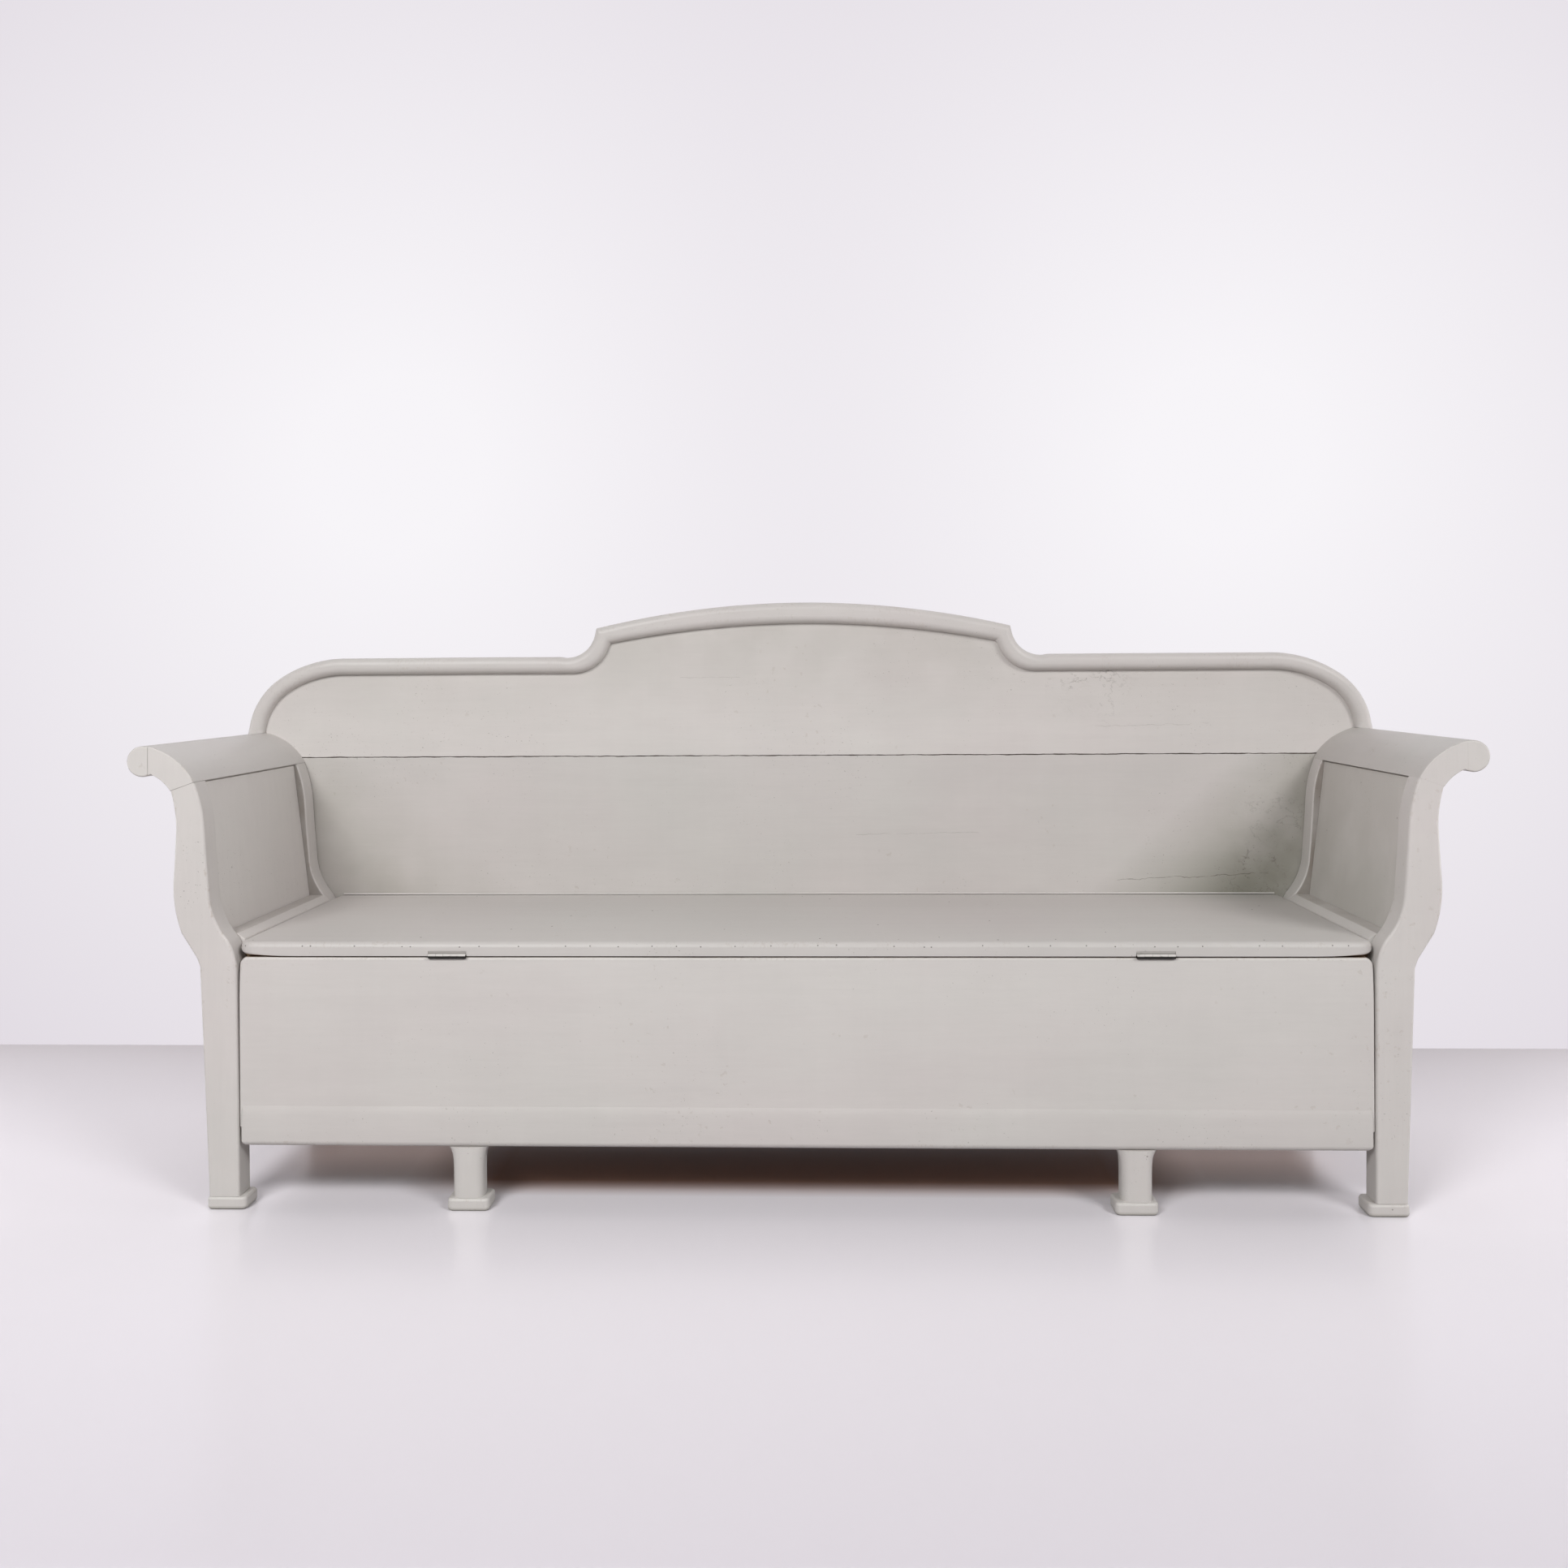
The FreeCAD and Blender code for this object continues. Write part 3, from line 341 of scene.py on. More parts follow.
def sliced(bm, axis, step):
    """Cut a board across at even steps, so that it can take the waviness of old timber."""
    places = [vert.co[axis] for vert in bm.verts]
    low, high = min(places), max(places)
    normal = Vector((axis == 0, axis == 1, axis == 2))
    for count in range(1, int((high - low) / step)):
        geometry = bm.verts[:] + bm.edges[:] + bm.faces[:]
        place = normal * (low + count * step)
        bmesh.ops.bisect_plane(bm, geom=geometry, plane_co=place, plane_no=normal, dist=0.01 * MM)


def extruded(bm, face, shift):
    """Draw a face out by a shift and give the face at the new end. No face is left inside."""
    inside = all(len(edge.link_faces) > 1 for edge in face.edges)
    made = bmesh.ops.extrude_face_region(bm, geom=[face])["geom"]
    bmesh.ops.translate(bm, verts=[item for item in made if isinstance(item, bmesh.types.BMVert)], vec=shift)
    if inside:
        bmesh.ops.delete(bm, geom=[face], context="FACES_ONLY")
    return next(item for item in made if isinstance(item, bmesh.types.BMFace))


def settled(bm, amount=0.45 * MM):
    """Move every point a little by one shared field, so that boards that touch still touch."""
    for vert in bm.verts:
        slow = noise.noise_vector(vert.co * 3.1)
        quick = noise.noise_vector(vert.co * 13.0 + Vector((7.0, 3.0, 5.0)))
        vert.co += slow * amount + quick * (amount * 0.35)


def shown(name, bm, finishes, body, nodes, pick=None):
    """Make the piece, ride it on its body and let it stand for its CAD nodes."""
    for edge in bm.edges:
        edge.smooth = not (len(edge.link_faces) == 2 and edge.calc_face_angle(0) > SHARP_ANGLE)
    for face in bm.faces:
        face.smooth = True
        if pick:
            face.material_index = pick(face)
    mesh = bpy.data.meshes.new(name)
    bm.to_mesh(mesh)
    bm.free()
    for finish in finishes:
        mesh.materials.append(finish)
    piece = bpy.data.objects.new(name, mesh)
    bpy.context.scene.collection.objects.link(piece)
    weighted = piece.modifiers.new("even_shading", "WEIGHTED_NORMAL")
    weighted.keep_sharp = True
    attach(piece, body)
    if nodes:
        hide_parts(*nodes)


# Cracks in the back: the axes along and across, start, stop, width, wander, evenness and depth
joint_crack = ("x", "z", (-1.0, BOARD_JOINT), (1.0, BOARD_JOINT), 1.1 * MM, 1.3 * MM, 0.45, 0.95)
corner_crack = ("x", "z", (0.60, 0.4575), (0.90, 0.4690), 0.6 * MM, 7 * MM, 0.0, 0.5)
crest_hair = ("x", "z", (-0.24, 0.8505), (-0.12, 0.8500), 0.35 * MM, 3 * MM, 0.0, 0.30)
shoulder_hair = ("x", "z", (0.55, 0.752), (0.78, 0.756), 0.3 * MM, 6 * MM, 0.0, 0.35)
back_hair = ("x", "z", (0.10, 0.545), (0.34, 0.549), 0.3 * MM, 4 * MM, 0.0, 0.30)

# Finishes. A tone under 1 makes a darker copy of the paint, painted shade for how the light falls on that
# part; the panels' tone over 1 is painted light
# The upper board grows darker towards its top, as painted shade
PAINT_BACK_UPPER = old_paint("paint_back_upper", "x", [joint_crack, crest_hair, shoulder_hair],
                             peeling=((0.55, BACK_FACE, 0.86), 0.10), shade_to=("z", 0.74, 0.98, 0.34))
# The middle board has painted shade in its lower corners under the arms, the right one most
PAINT_BACK = old_paint("paint_back", "x", [joint_crack, corner_crack, back_hair], tone=0.92,
                       peeling=((0.89, BACK_FACE, 0.51), 0.12), shade_to=("corners", 0.065, 0.355, 0.84))
PAINT_LID = old_paint("paint_lid", "x", dents=0.8, tone=0.90, nail_row=(19, LID_TOP - 6 * MM))
PAINT_FRONT = old_paint("paint_front", "x", tone=0.985)
PAINT_ALONG = old_paint("paint_along", "x", tone=0.95)
PAINT_BEAD = old_paint("paint_bead", "x", tone=0.91)
PAINT_DEEP = old_paint("paint_deep", "y")
# The scroll paint is a darker copy that grows darker still on the right arm, as painted shade
PAINT_SCROLL = old_paint("paint_scroll", "y", tone=0.92, shade_to=("x", 0.20, 0.85, 0.14))
# The panel paint is painted light on both panels and painted shade on the right one
PAINT_PANEL = old_paint("paint_panel", "z", dents=0.35, tone=1.03, shade_to=("x", 0.20, 0.85, 0.28))
# Grime and painted shade on the upward ledges of the arms
PAINT_SHADED_SHELF = old_paint("paint_shaded_shelf", "y", grime=0.40)
PAINT_POST = old_paint("paint_post", "z")
# Darker copies of the post paint: painted shade on the posts' inner faces, and painted shade with grime on
# the rear posts' fronts
PAINT_SHADED_REVEAL = old_paint("paint_shaded_reveal", "z", tone=0.96)
PAINT_SHADED_CORNER = old_paint("paint_shaded_corner", "z", tone=0.75, grime=0.7)
PAINT_FOOT = old_paint("paint_foot", "z", dents=0.5, shade_to=("z", 0.007, 0.0, 0.8))
# Very dark paint for the hinge recesses, painted shade with grime
PAINT_SHADED_RECESS = old_paint("paint_shaded_recess", "x", tone=0.35, grime=0.9)
PINE_X = old_pine("pine_long", "x", 0.60)
PINE_REAR_LOW = old_pine("pine_rear_low", "x", 0.54, 21.0)
PINE_REAR_MIDDLE = old_pine("pine_rear_middle", "x", 0.66, 47.0)
PINE_Y = old_pine("pine_deep", "y", 0.60)
PINE_Z = old_pine("pine_upright", "z", 0.75)
PINE_DARK = old_pine("pine_in_the_dark", "x", 0.42, warmth=1.8)
# Dark bare pine for the front board's top under the lid: its own colour and painted shade in the gap
PINE_SHADED_JOINT = old_pine("pine_in_a_shaded_joint", "x", 0.35, warmth=1.6)
IRON = aged_iron("old_iron", False)
IRON_PAINTED = aged_iron("painted_iron", True)


def on_joint(vert):
    """Whether a point lies on the sloping joint between post and scroll."""
    share = (abs(vert.co.x) - JOINT_INNER.x) / (JOINT_OUTER.x - JOINT_INNER.x)
    height = JOINT_INNER.z + (JOINT_OUTER.z - JOINT_INNER.z) * share
    return -0.05 < share < 1.05 and abs(vert.co.z - height) < 0.6 * MM


def on_roll_joint(vert):
    """Whether a point lies on the upright joint between scroll and roll."""
    return abs(abs(vert.co.x) - ROLL_JOINT) < 0.3 * MM


def along(*tests):
    """Chooses the arrises that run along one of the joints."""
    return lambda edge: any(all(test(vert) for vert in edge.verts) for test in tests)


def free_of(*tests):
    """Chooses the arrises that run along none of the joints."""
    return lambda edge: not along(*tests)(edge)


def bare_behind(face):
    """The second finish on what faces the wall."""
    return 1 if face.normal.y > 0.7 else 0


def make_post(where, word, side, grime):
    """An S-shaped post, with the dirt in its joint as thick as grime says."""
    node = f"{where}_post_{word}"
    bm = copied(node)
    low = min(vert.co.z for vert in bm.verts)
    at_foot = lambda edge: all(vert.co.z < low + 1 * MM for vert in edge.verts)
    eased(bm, 4.5 * MM, lambda edge: free_of(on_joint)(edge) and not at_foot(edge), worn=0.8)
    eased(bm, 0.6 * MM, at_foot, 1, 0.0, 0.5)
    eased(bm, grime * 0.8 * MM, along(on_joint), 1, 0.0, grime)
    sliced(bm, Z, 0.06)
    settled(bm)

    def post_finish(face):
        # Painted shade: the rear posts' fronts take the corner paint and the inner faces the reveal paint
        if where == "rear" and face.normal.y < -0.8:
            return 1
        return 2 if face.normal.x * side < -0.6 else 0

    shown(f"{node}_worn", bm, [PAINT_POST, PAINT_SHADED_CORNER, PAINT_SHADED_REVEAL], "frame", [node], pick=post_finish)


def make_arms():
    for word, side, grime in (("left", -1, 0.5), ("right", 1, 0.15)):
        make_post("front", word, side, grime)
        make_post("rear", word, side, grime)
        # The front ends keep the post paint; the rest of each scroll and roll takes the darker scroll paint,
        # as painted shade
        on_end = lambda face: 1 if face.normal.y < -0.8 else 0
        for stem in ("arm_scroll", "arm_roll"):
            node = f"{stem}_{word}"
            top = copied(node)
            eased(top, 3.0 * MM, free_of(on_joint, on_roll_joint), worn=0.6)
            eased(top, grime * 0.8 * MM, along(on_joint, on_roll_joint), 1, 0.0, grime)
            sliced(top, Y, 0.06)
            settled(top)
            shown(f"{node}_worn", top, [PAINT_SCROLL, PAINT_POST], "frame", [node], pick=on_end)
        # Upward faces take the ledge paint, with its grime and painted shade
        on_ledge = lambda face: 1 if face.normal.z > 0.93 else 0
        for stem, radius, dirt, finish in (("arm_panel", 1.8 * MM, 0.4, PAINT_PANEL),
                                           ("arm_rail", 2.0 * MM, 0.0, PAINT_DEEP),
                                           ("side_board", 1.2 * MM, 0.0, PAINT_DEEP)):
            node = f"{stem}_{word}"
            board = copied(node)
            eased(board, radius, segments=2, worn=0.5, grime=dirt)
            sliced(board, Y, 0.06)
            settled(board)
            shown(f"{node}_worn", board, [finish, PAINT_SHADED_SHELF], "frame", [node], pick=on_ledge)


def make_feet():
    """Foot pads with worn corners, and the middle legs that stand on two of them."""
    upright = lambda edge: abs(edge.verts[0].co.z - edge.verts[1].co.z) > 10 * MM
    for word in ("left", "right"):
        for stem, body in (("front_foot", "frame"), ("middle_foot", "pull_out")):
            node = f"{stem}_{word}"
            foot = copied(node)
            eased(foot, 9 * MM, upright, 4, 0.5)
            eased(foot, 4.5 * MM, segments=3, worn=0.6)
            settled(foot, 1.2 * MM)
            shown(f"{node}_worn", foot, [PAINT_FOOT], body, [node])
        make_middle_leg(word)


def make_middle_leg(word):
    """A waisted leg with wide rounds between its faces, which flares out under the rail."""
    node = f"middle_leg_{word}"
    low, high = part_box(node)
    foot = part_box(f"middle_foot_{word}")[1].z
    centre = (low.x + high.x) / 2 * 1.003
    top_half = (high.x - low.x) / 2 - 2 * MM
    waist_half = top_half - 9 * MM
    leg = bmesh.new()
    bmesh.ops.create_grid(leg, x_segments=1, y_segments=1, size=0.5)
    bmesh.ops.scale(leg, verts=leg.verts, vec=(2 * waist_half, high.y - low.y, 1))
    bmesh.ops.bevel(leg, geom=leg.verts[:], offset=15 * MM, offset_type="OFFSET", affect="VERTICES",
                    segments=8, profile=0.5, material=-1)
    bmesh.ops.translate(leg, verts=leg.verts, vec=(centre, (low.y + high.y) / 2, foot))
    leg.faces.layers.float.new("arris")
    leg.faces.layers.float.new("seam")
    top = next(iter(leg.faces))
    steps = 20
    rise = (RAIL_FOOT - foot) / steps
    flare = 9 * MM
    from_centre = Matrix.Translation((-centre, 0, 0))
    reach = waist_half
    for step in range(1, steps + 1):
        top = extruded(leg, top, (0, 0, rise))
        below_rail = RAIL_FOOT - foot - rise * step
        wider = waist_half + (top_half - waist_half) * math.exp(-below_rail / flare)
        bmesh.ops.scale(leg, verts=top.verts, vec=(wider / reach, 1, 1), space=from_centre)
        reach = wider
    bmesh.ops.recalc_face_normals(leg, faces=leg.faces)
    settled(leg, 0.9 * MM)
    shown(f"{node}_worn", leg, [PAINT_FOOT], "pull_out", [node])


def make_back():
    """Three boards, bare behind, the upper two painted in front and the lowest bare pine in front too, with
    dirt in their joint, and the two battens.
    """
    at_joint = lambda vert: abs(vert.co.z - BOARD_JOINT) < 0.3 * MM
    for node, finish, rear in (("back_board_upper", PAINT_BACK_UPPER, PINE_X),
                               ("back_board_middle", PAINT_BACK, PINE_REAR_MIDDLE),
                               ("back_board_base", PINE_DARK, PINE_REAR_LOW)):
        board = copied(node)
        eased(board, 0.8 * MM, along(at_joint), 1, 0.0, 1.0)
        eased(board, 1.0 * MM, lambda edge: not any(at_joint(vert) for vert in edge.verts), 2, 0.0)
        sliced(board, X, 0.08)
        settled(board, 0.35 * MM)
        shown(f"{node}_worn", board, [finish, rear], "frame", [node], pick=bare_behind)
    for word in ("left", "right"):
        node = f"back_batten_{word}"
        batten = copied(node)
        eased(batten, 2.0 * MM)
        shown(f"{node}_worn", batten, [PINE_Z], "frame", [node])


def make_beads():
    """The strips along the crest in one, rounded over to a bead that turns a corner at each ear."""
    strips = ("crest_bead_left", "crest_bead_arch", "crest_bead_right")
    ear = Vector((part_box("crest_bead_arch")[1].x, 0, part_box("crest_bead_right")[1].z))
    inner_ear = Vector((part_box("crest_bead_right")[0].x, 0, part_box("crest_bead_arch")[0].z))

    def at_mitre(vert):
        place = Vector((abs(vert.co.x), 0, vert.co.z))
        return min((place - ear).length, (place - inner_ear).length) < 2 * MM

    bm = copied(*strips, inner_wall=at_mitre)
    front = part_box("crest_bead_arch")[0].y
    on_front = lambda vert: vert.co.y < front + 0.1 * MM
    on_arm = lambda vert: vert.co.z < ARM_TOP + 1 * MM
    eased(bm, 14 * MM, lambda edge: along(on_front)(edge) and free_of(on_arm)(edge), 7, 0.3, clamped=False)
    sliced(bm, X, 0.05)
    settled(bm)
    shown("crest_bead_round", bm, [PAINT_BEAD], "frame", strips)


def make_lid():
    """The seat board, with a round nose, a lower edge that rises at both ends and painted recesses."""
    lid = copied("seat_board")
    lid_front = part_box("seat_board")[0].y

    def in_recess(place):
        low_enough = place.z < LID_FOOT + 8.2 * MM
        return low_enough and RECESS_NEAR < abs(place.x) < RECESS_FAR and place.y < lid_front + 6.2 * MM

    # Its ends reach 2 mm further than those of the plain board
    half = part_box("seat_board")[1].x
    at_ends = [vert for vert in lid.verts if abs(vert.co.x) > half - 30 * MM]
    bmesh.ops.scale(lid, verts=at_ends, vec=(1 + 2 * MM / half, 1, 1))
    outside = lambda edge: not any(in_recess(vert.co) for vert in edge.verts)
    eased(lid, 9 * MM, lambda edge: outside(edge) and middle_of(edge).z > LID_TOP - 1 * MM, 6, 0.4)
    eased(lid, 5 * MM, lambda edge: outside(edge) and middle_of(edge).z < LID_FOOT + 1 * MM, 4, 0.5)
    sliced(lid, X, 0.05)
    curl = 45 * MM
    for vert in lid.verts:
        near_end = max(0.0, (abs(vert.co.x) - half + curl) / curl)
        if vert.co.y < lid_front + curl and vert.co.z < LID_FOOT + 6 * MM:
            vert.co.z += near_end ** 2 * 4 * MM

    # The paint fills the recess above the barrel of each hinge
    shelf = LID_FOOT + 4.8 * MM
    walls = [face for face in lid.faces if in_recess(face.calc_center_median()) and face.normal.y < -0.7]
    rims = [item for face in walls for item in list(face.verts) + list(face.edges)]
    geometry = walls + list(dict.fromkeys(rims))
    bmesh.ops.bisect_plane(lid, geom=geometry, plane_co=(0, 0, shelf), plane_no=(0, 0, 1))
    for vert in lid.verts:
        if in_recess(vert.co) and vert.co.y > lid_front + 4 * MM and vert.co.z > shelf - 0.3 * MM:
            vert.co.y = lid_front + 1.2 * MM

    def lid_finish(face):
        middle = face.calc_center_median()
        # The recess walls take the dark recess paint as painted shade, and its back wall the lid paint
        if in_recess(middle) and middle.y > lid_front + 0.3 * MM and face.normal.z > -0.7:
            return 0 if face.normal.y < -0.7 else 2
        if face.normal.z < -0.7:
            return 1
        return 0

    shown("seat_board_worn", lid, [PAINT_LID, PINE_X, PAINT_SHADED_RECESS], "lid", ["seat_board"], pick=lid_finish)


def make_front():
    """The front board of the box, with the rail under it."""
    board = copied("front_board")
    front_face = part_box("front_board")[0].y
    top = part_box("front_board")[1].z

    # Its rounded top is drawn up a little, towards the lid
    for vert in board.verts:
        vert.co.z += max(0.0, (vert.co.z - top) / (13 * MM) + 1) * 1.8 * MM
    on_face = along(lambda vert: vert.co.y < front_face + 1 * MM)
    on_top_arris = lambda edge: on_face(edge) and middle_of(edge).z > top - 12 * MM
    eased(board, 4.5 * MM, on_top_arris, 5, 0.4, clamped=False)
    eased(board, 1.2 * MM, worn=0.4)
    sliced(board, X, 0.05)
    settled(board)

    def front_finish(face):
        # The top face, in the gap under the lid, takes the dark joint pine as painted shade
        if face.normal.z > 0.95:
            return 2
        return 1 if face.normal.y > 0.7 else 0

    shown("front_board_worn", board, [PAINT_FRONT, PINE_X, PINE_SHADED_JOINT], "pull_out", ["front_board"],
          pick=front_finish)

    rail = copied("front_rail")
    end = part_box("front_rail")[1].x
    lower_corner = along(lambda vert: abs(vert.co.x) > end - 1 * MM and vert.co.z < RAIL_FOOT + 1 * MM)
    eased(rail, 9 * MM, lower_corner, 5, 0.4)
    eased(rail, 3.0 * MM, lambda edge: middle_of(edge).y < FRONT + 3 * MM, worn=0.4)
    sliced(rail, X, 0.05)
    settled(rail)
    shown("front_rail_worn", rail, [PAINT_ALONG], "pull_out", ["front_rail"])


def make_ridge():
    """The line of filler and paint where the seat meets the back."""
    bm = bmesh.new()
    bm.faces.layers.float.new("arris")
    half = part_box("seat_board")[1].x - 6 * MM
    size = 2.4 * MM
    back = BACK_FACE + 0.3 * MM
    foot = LID_TOP + 0.6 * MM
    corners = [(0, 0), (-size, 0), (-size * 0.7, size * 0.55), (0, size)]
    end = bm.faces.new([bm.verts.new((-half, back + y, foot + z)) for y, z in corners])
    steps = 60
    for _ in range(steps):
        end = extruded(bm, end, (half * 2 / steps, 0, 0))
    bmesh.ops.recalc_face_normals(bm, faces=bm.faces)
    settled(bm)
    shown("seat_rear_ridge", bm, [PAINT_ALONG], "frame", [])


def make_rough_wood():
    """Boards that were never painted: the CAD shapes with eased edges."""
    for node, body, finish in (
            ("fixed_slats", "frame", PINE_Y), ("moving_slats", "pull_out", PINE_Y),
            ("drawer_side_left", "pull_out", PINE_Y), ("drawer_side_right", "pull_out", PINE_Y),
            ("slat_crossbar", "pull_out", PINE_DARK), ("slat_bearer", "frame", PINE_DARK),
            ("front_stretcher", "frame", PINE_DARK), ("lid_ledge_rear", "frame", PINE_X),
            ("lid_ledge_left", "frame", PINE_Y), ("lid_ledge_right", "frame", PINE_Y),
            ("side_sill_left", "frame", PINE_DARK), ("side_sill_right", "frame", PINE_DARK),
            ("lid_batten_left", "lid", PINE_Y), ("lid_batten_right", "lid", PINE_Y)):
        bm = copied(node)
        eased(bm, 1.2 * MM, segments=2)
        shown(f"{node}_planed", bm, [finish], body, [node])


def finish_iron():
    """The hinges are the CAD solids themselves: painted leaves on dark pins and screws."""
    for node, finish in (("hinge_leaves_lower", IRON_PAINTED), ("hinge_leaves_upper", IRON_PAINTED),
                         ("hinge_pins", IRON), ("hinge_screws_lower", IRON), ("hinge_screws_upper", IRON)):
        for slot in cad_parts[node].material_slots:
            slot.material = finish


make_arms()
make_feet()
make_back()
make_beads()
make_lid()
make_front()
make_ridge()
make_rough_wood()
finish_iron()


# Studio: pale floor, white wall, soft lamps
WALL_Y = 0.70
WALL_TOP = 5
ROOM = 6


def mixed(finish, factor, below, above):
    """A node that mixes two shader nodes by a factor."""
    mix = finish.tree.nodes.new("ShaderNodeMixShader")
    finish.tree.links.new(factor.socket, mix.inputs[0])
    finish.tree.links.new(below.outputs[0], mix.inputs[1])
    finish.tree.links.new(above.outputs[0], mix.inputs[2])
    return mix


def stage_finish(name):
    """A stage material under way, with its shader, its output and what the light path sees."""
    finish = Finish(name)
    shader = finish.tree.nodes.new("ShaderNodeBsdfPrincipled")
    end = finish.tree.nodes.new("ShaderNodeOutputMaterial")
    path = finish.tree.nodes.new("ShaderNodeLightPath")
    camera_ray = Wire(finish, path.outputs["Is Camera Ray"])
    glossy_ray = Wire(finish, path.outputs["Is Glossy Ray"])
    return finish, shader, end, camera_ray, glossy_ray


def floor_finish():
    """Pale satin floor paint, which the camera sees paler than it lights the bench."""
    finish, shader, end, camera_ray, _ = stage_finish("floor_paint")
    # The camera sees the floor paler near the bench and darker towards the front, as painted light and shade
    pale = finish.tint(finish.y.between(-0.30, -1.10), (0.915, 0.88, 0.925, 1), (0.69, 0.655, 0.70, 1))
    across = finish.x.magnitude()

    # Painted shadow: darker and browner under the middle of the bench
    under = across.between(0.68, 0.52) * finish.y.between(-0.19, -0.12) * finish.y.between(0.30, 0.15)
    pale = finish.tint(under * 0.95, pale, (0.38, 0.20, 0.14, 1))
    tone = finish.tint(camera_ray, (0.60, 0.57, 0.59, 1), pale)
    finish.tree.links.new(tone.socket, shader.inputs["Base Color"])

    # Painted light: the floor glows paler beside the bench and under its ends
    beside = across.between(1.05, 1.60)
    far = finish.y.between(-0.30, 0.60)
    glow = finish.tint(camera_ray * beside * (far * 0.3 + 0.7), (0, 0, 0, 1), (0.03, 0.029, 0.031, 1))
    ends = across.between(0.56, 0.66) * across.between(0.98, 0.86) * finish.y.between(-0.13, 0.00)
    ends = ends * finish.y.between(0.28, 0.20)
    glow = finish.tint(camera_ray * ends, glow, (0.130, 0.096, 0.088, 1))
    finish.tree.links.new(glow.socket, shader.inputs["Emission Color"])
    shader.inputs["Emission Strength"].default_value = 1.0
    shader.inputs["Roughness"].default_value = 0.24
    finish.tree.links.new(shader.outputs[0], end.inputs["Surface"])
    return finish.material


def wall_finish():
    """A white wall that shows the camera a pale colour with two painted pools of light, and is open from
    behind.
    """
    finish, shader, end, camera_ray, glossy_ray = stage_finish("wall_paint")
    # Low down, the wall sends back less and browner light, as painted shade under the bench
    bounce = finish.tint(finish.z.between(0.10, 0.80), (0.34, 0.28, 0.25, 1), (0.86, 0.84, 0.86, 1))
    finish.tree.links.new(bounce.socket, shader.inputs["Base Color"])
    shader.inputs["Roughness"].default_value = 0.9

    # Painted light: two paler pools, left and right
    left, right = (finish.away_from((side * 0.95, WALL_Y, 1.35)) for side in (-1, 1))
    near = left.maths("SMOOTH_MIN", right, 0.9)
    tone = finish.tint(near.between(0.2, 2.0), (0.93, 0.91, 0.94, 1), (0.72, 0.67, 0.73, 1))
    glow = finish.tree.nodes.new("ShaderNodeEmission")
    finish.tree.links.new(tone.socket, glow.inputs["Color"])
    lit = mixed(finish, camera_ray.maths("MAXIMUM", glossy_ray), shader, glow)
    behind = Wire(finish, finish.tree.nodes.new("ShaderNodeNewGeometry").outputs["Backfacing"])
    open_side = finish.tree.nodes.new("ShaderNodeBsdfTransparent")
    finish.tree.links.new(mixed(finish, behind, lit, open_side).outputs[0], end.inputs["Surface"])
    return finish.material


def stage_plane(name, corners, finish):
    """A flat piece of the studio, which isn't part of the bench."""
    bm = bmesh.new()
    bm.faces.new([bm.verts.new(corner) for corner in corners])
    mesh = bpy.data.meshes.new(name)
    bm.to_mesh(mesh)
    bm.free()
    mesh.materials.append(finish)
    plane = bpy.data.objects.new(name, mesh)
    bpy.context.scene.collection.objects.link(plane)


floor_corners = [(-ROOM, -ROOM, 0), (ROOM, -ROOM, 0), (ROOM, ROOM, 0), (-ROOM, ROOM, 0)]
wall_corners = [(-ROOM, WALL_Y, 0), (ROOM, WALL_Y, 0), (ROOM, WALL_Y, WALL_TOP), (-ROOM, WALL_Y, WALL_TOP)]
stage_plane("floor", floor_corners, floor_finish())
stage_plane("wall", wall_corners, wall_finish())

# The room lights the bench weakly, and the camera sees it pale
world = bpy.data.worlds.new("soft_room")
bpy.context.scene.world = world
world.use_nodes = True
background = world.node_tree.nodes["Background"]
background.inputs["Color"].default_value = (1.0, 0.985, 0.99, 1)
light_path = world.node_tree.nodes.new("ShaderNodeLightPath")
strength = world.node_tree.nodes.new("ShaderNodeMapRange")
strength.inputs["To Min"].default_value = 0.06
strength.inputs["To Max"].default_value = 0.80
world.node_tree.links.new(light_path.outputs["Is Camera Ray"], strength.inputs["Value"])
world.node_tree.links.new(strength.outputs["Result"], background.inputs["Strength"])


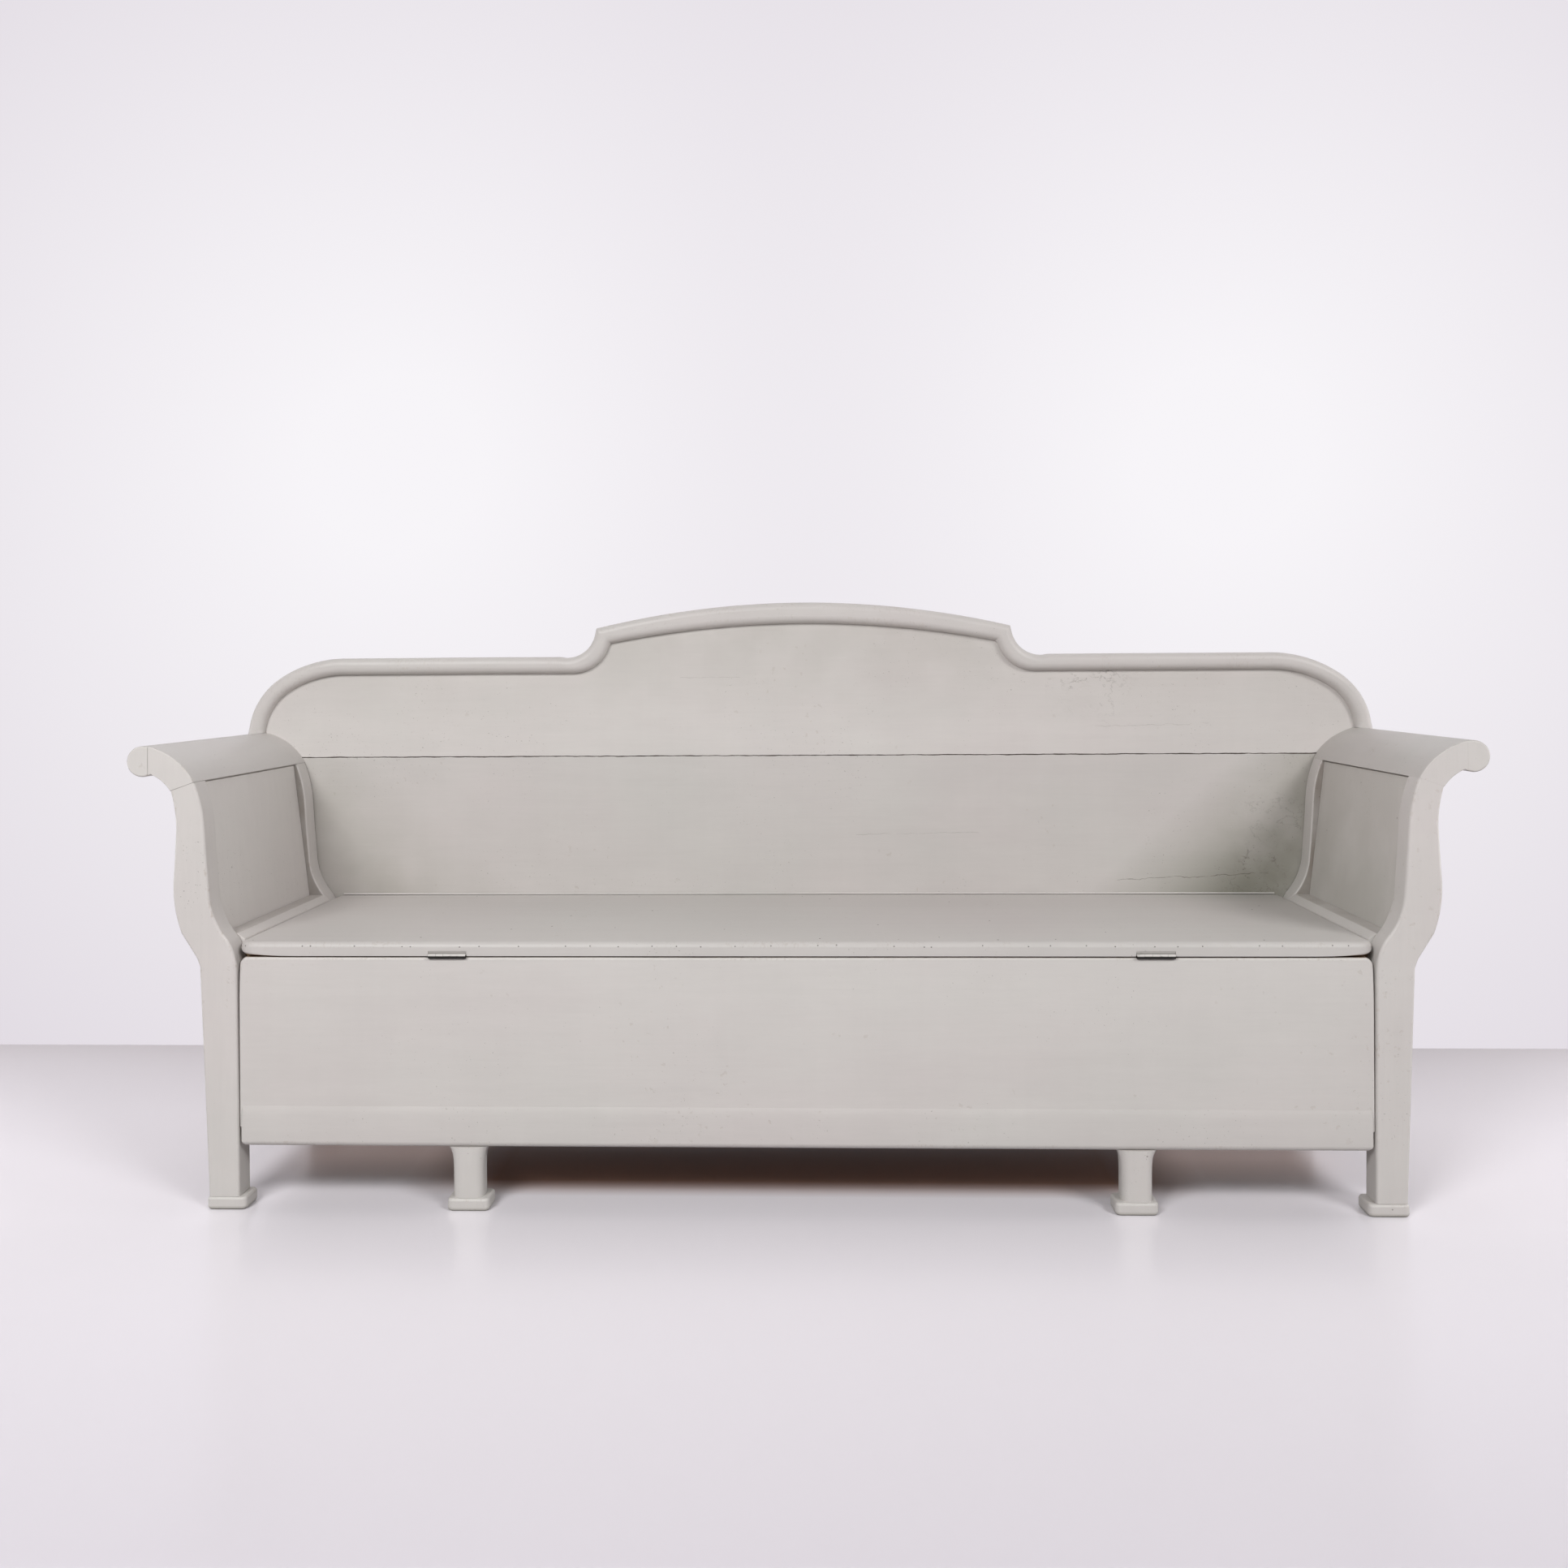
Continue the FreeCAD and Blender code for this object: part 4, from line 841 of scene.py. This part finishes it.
def softbox(name, place, target, size, power):
    """A lamp with a wide pane that faces its target."""
    data = bpy.data.lights.new(name, "AREA")
    data.shape = "RECTANGLE"
    data.size, data.size_y = size
    data.energy = power
    lamp = bpy.data.objects.new(name, data)
    bpy.context.scene.collection.objects.link(lamp)
    lamp.location = place
    lamp.rotation_euler = (Vector(target) - Vector(place)).to_track_quat("-Z", "Y").to_euler()


softbox("left_lamp", (-1.9, -3.5, 3.1), (-0.4, 0, 0.4), (1.6, 1.2), 117)
softbox("right_lamp", (3.6, -3.9, 3.9), (0.2, 0, 0.4), (1.9, 1.4), 161)
softbox("front_fill", (-0.8, -4.6, 2.4), (-0.2, 0, 0.5), (2.6, 1.2), 24)
softbox("left_side_lamp", (-4.3, 0.0, 0.60), (-0.6, 0, 0.0), (1.6, 0.8), 28)
softbox("right_side_lamp", (4.3, 0.0, 0.60), (0.6, 0, 0.0), (1.6, 0.8), 38)

# The camera, fitted to the photograph
PHOTO_SIDE = 1932
FOCAL = 1676.96
PRINCIPAL_ROW = 824.85
SENSOR = 36
CAMERA_PLACE = Vector((0.05154, FRONT - 2.16353, 0.86484))
yaw, pitch, roll = (math.radians(angle) for angle in (-1.900, 0.0025, -0.3665))
ahead = Vector((math.sin(yaw) * math.cos(pitch), math.cos(yaw) * math.cos(pitch), math.sin(pitch)))
level = Vector((math.cos(yaw), -math.sin(yaw), 0))
upward = level.cross(ahead)
rightward = level * math.cos(roll) + upward * math.sin(roll)
skyward = upward * math.cos(roll) - level * math.sin(roll)
camera_data = bpy.data.cameras.new("camera")
camera_data.sensor_width = SENSOR
camera_data.lens = SENSOR * FOCAL / PHOTO_SIDE
camera_data.shift_y = (PRINCIPAL_ROW - PHOTO_SIDE / 2) / PHOTO_SIDE
camera_data.clip_start = 0.05
camera = bpy.data.objects.new("camera", camera_data)
bpy.context.scene.collection.objects.link(camera)
turn = Matrix((rightward, skyward, -ahead)).transposed().to_4x4()
camera.matrix_world = Matrix.Translation(CAMERA_PLACE) @ turn
bpy.context.scene.camera = camera
bpy.context.scene.view_settings.view_transform = "Standard"
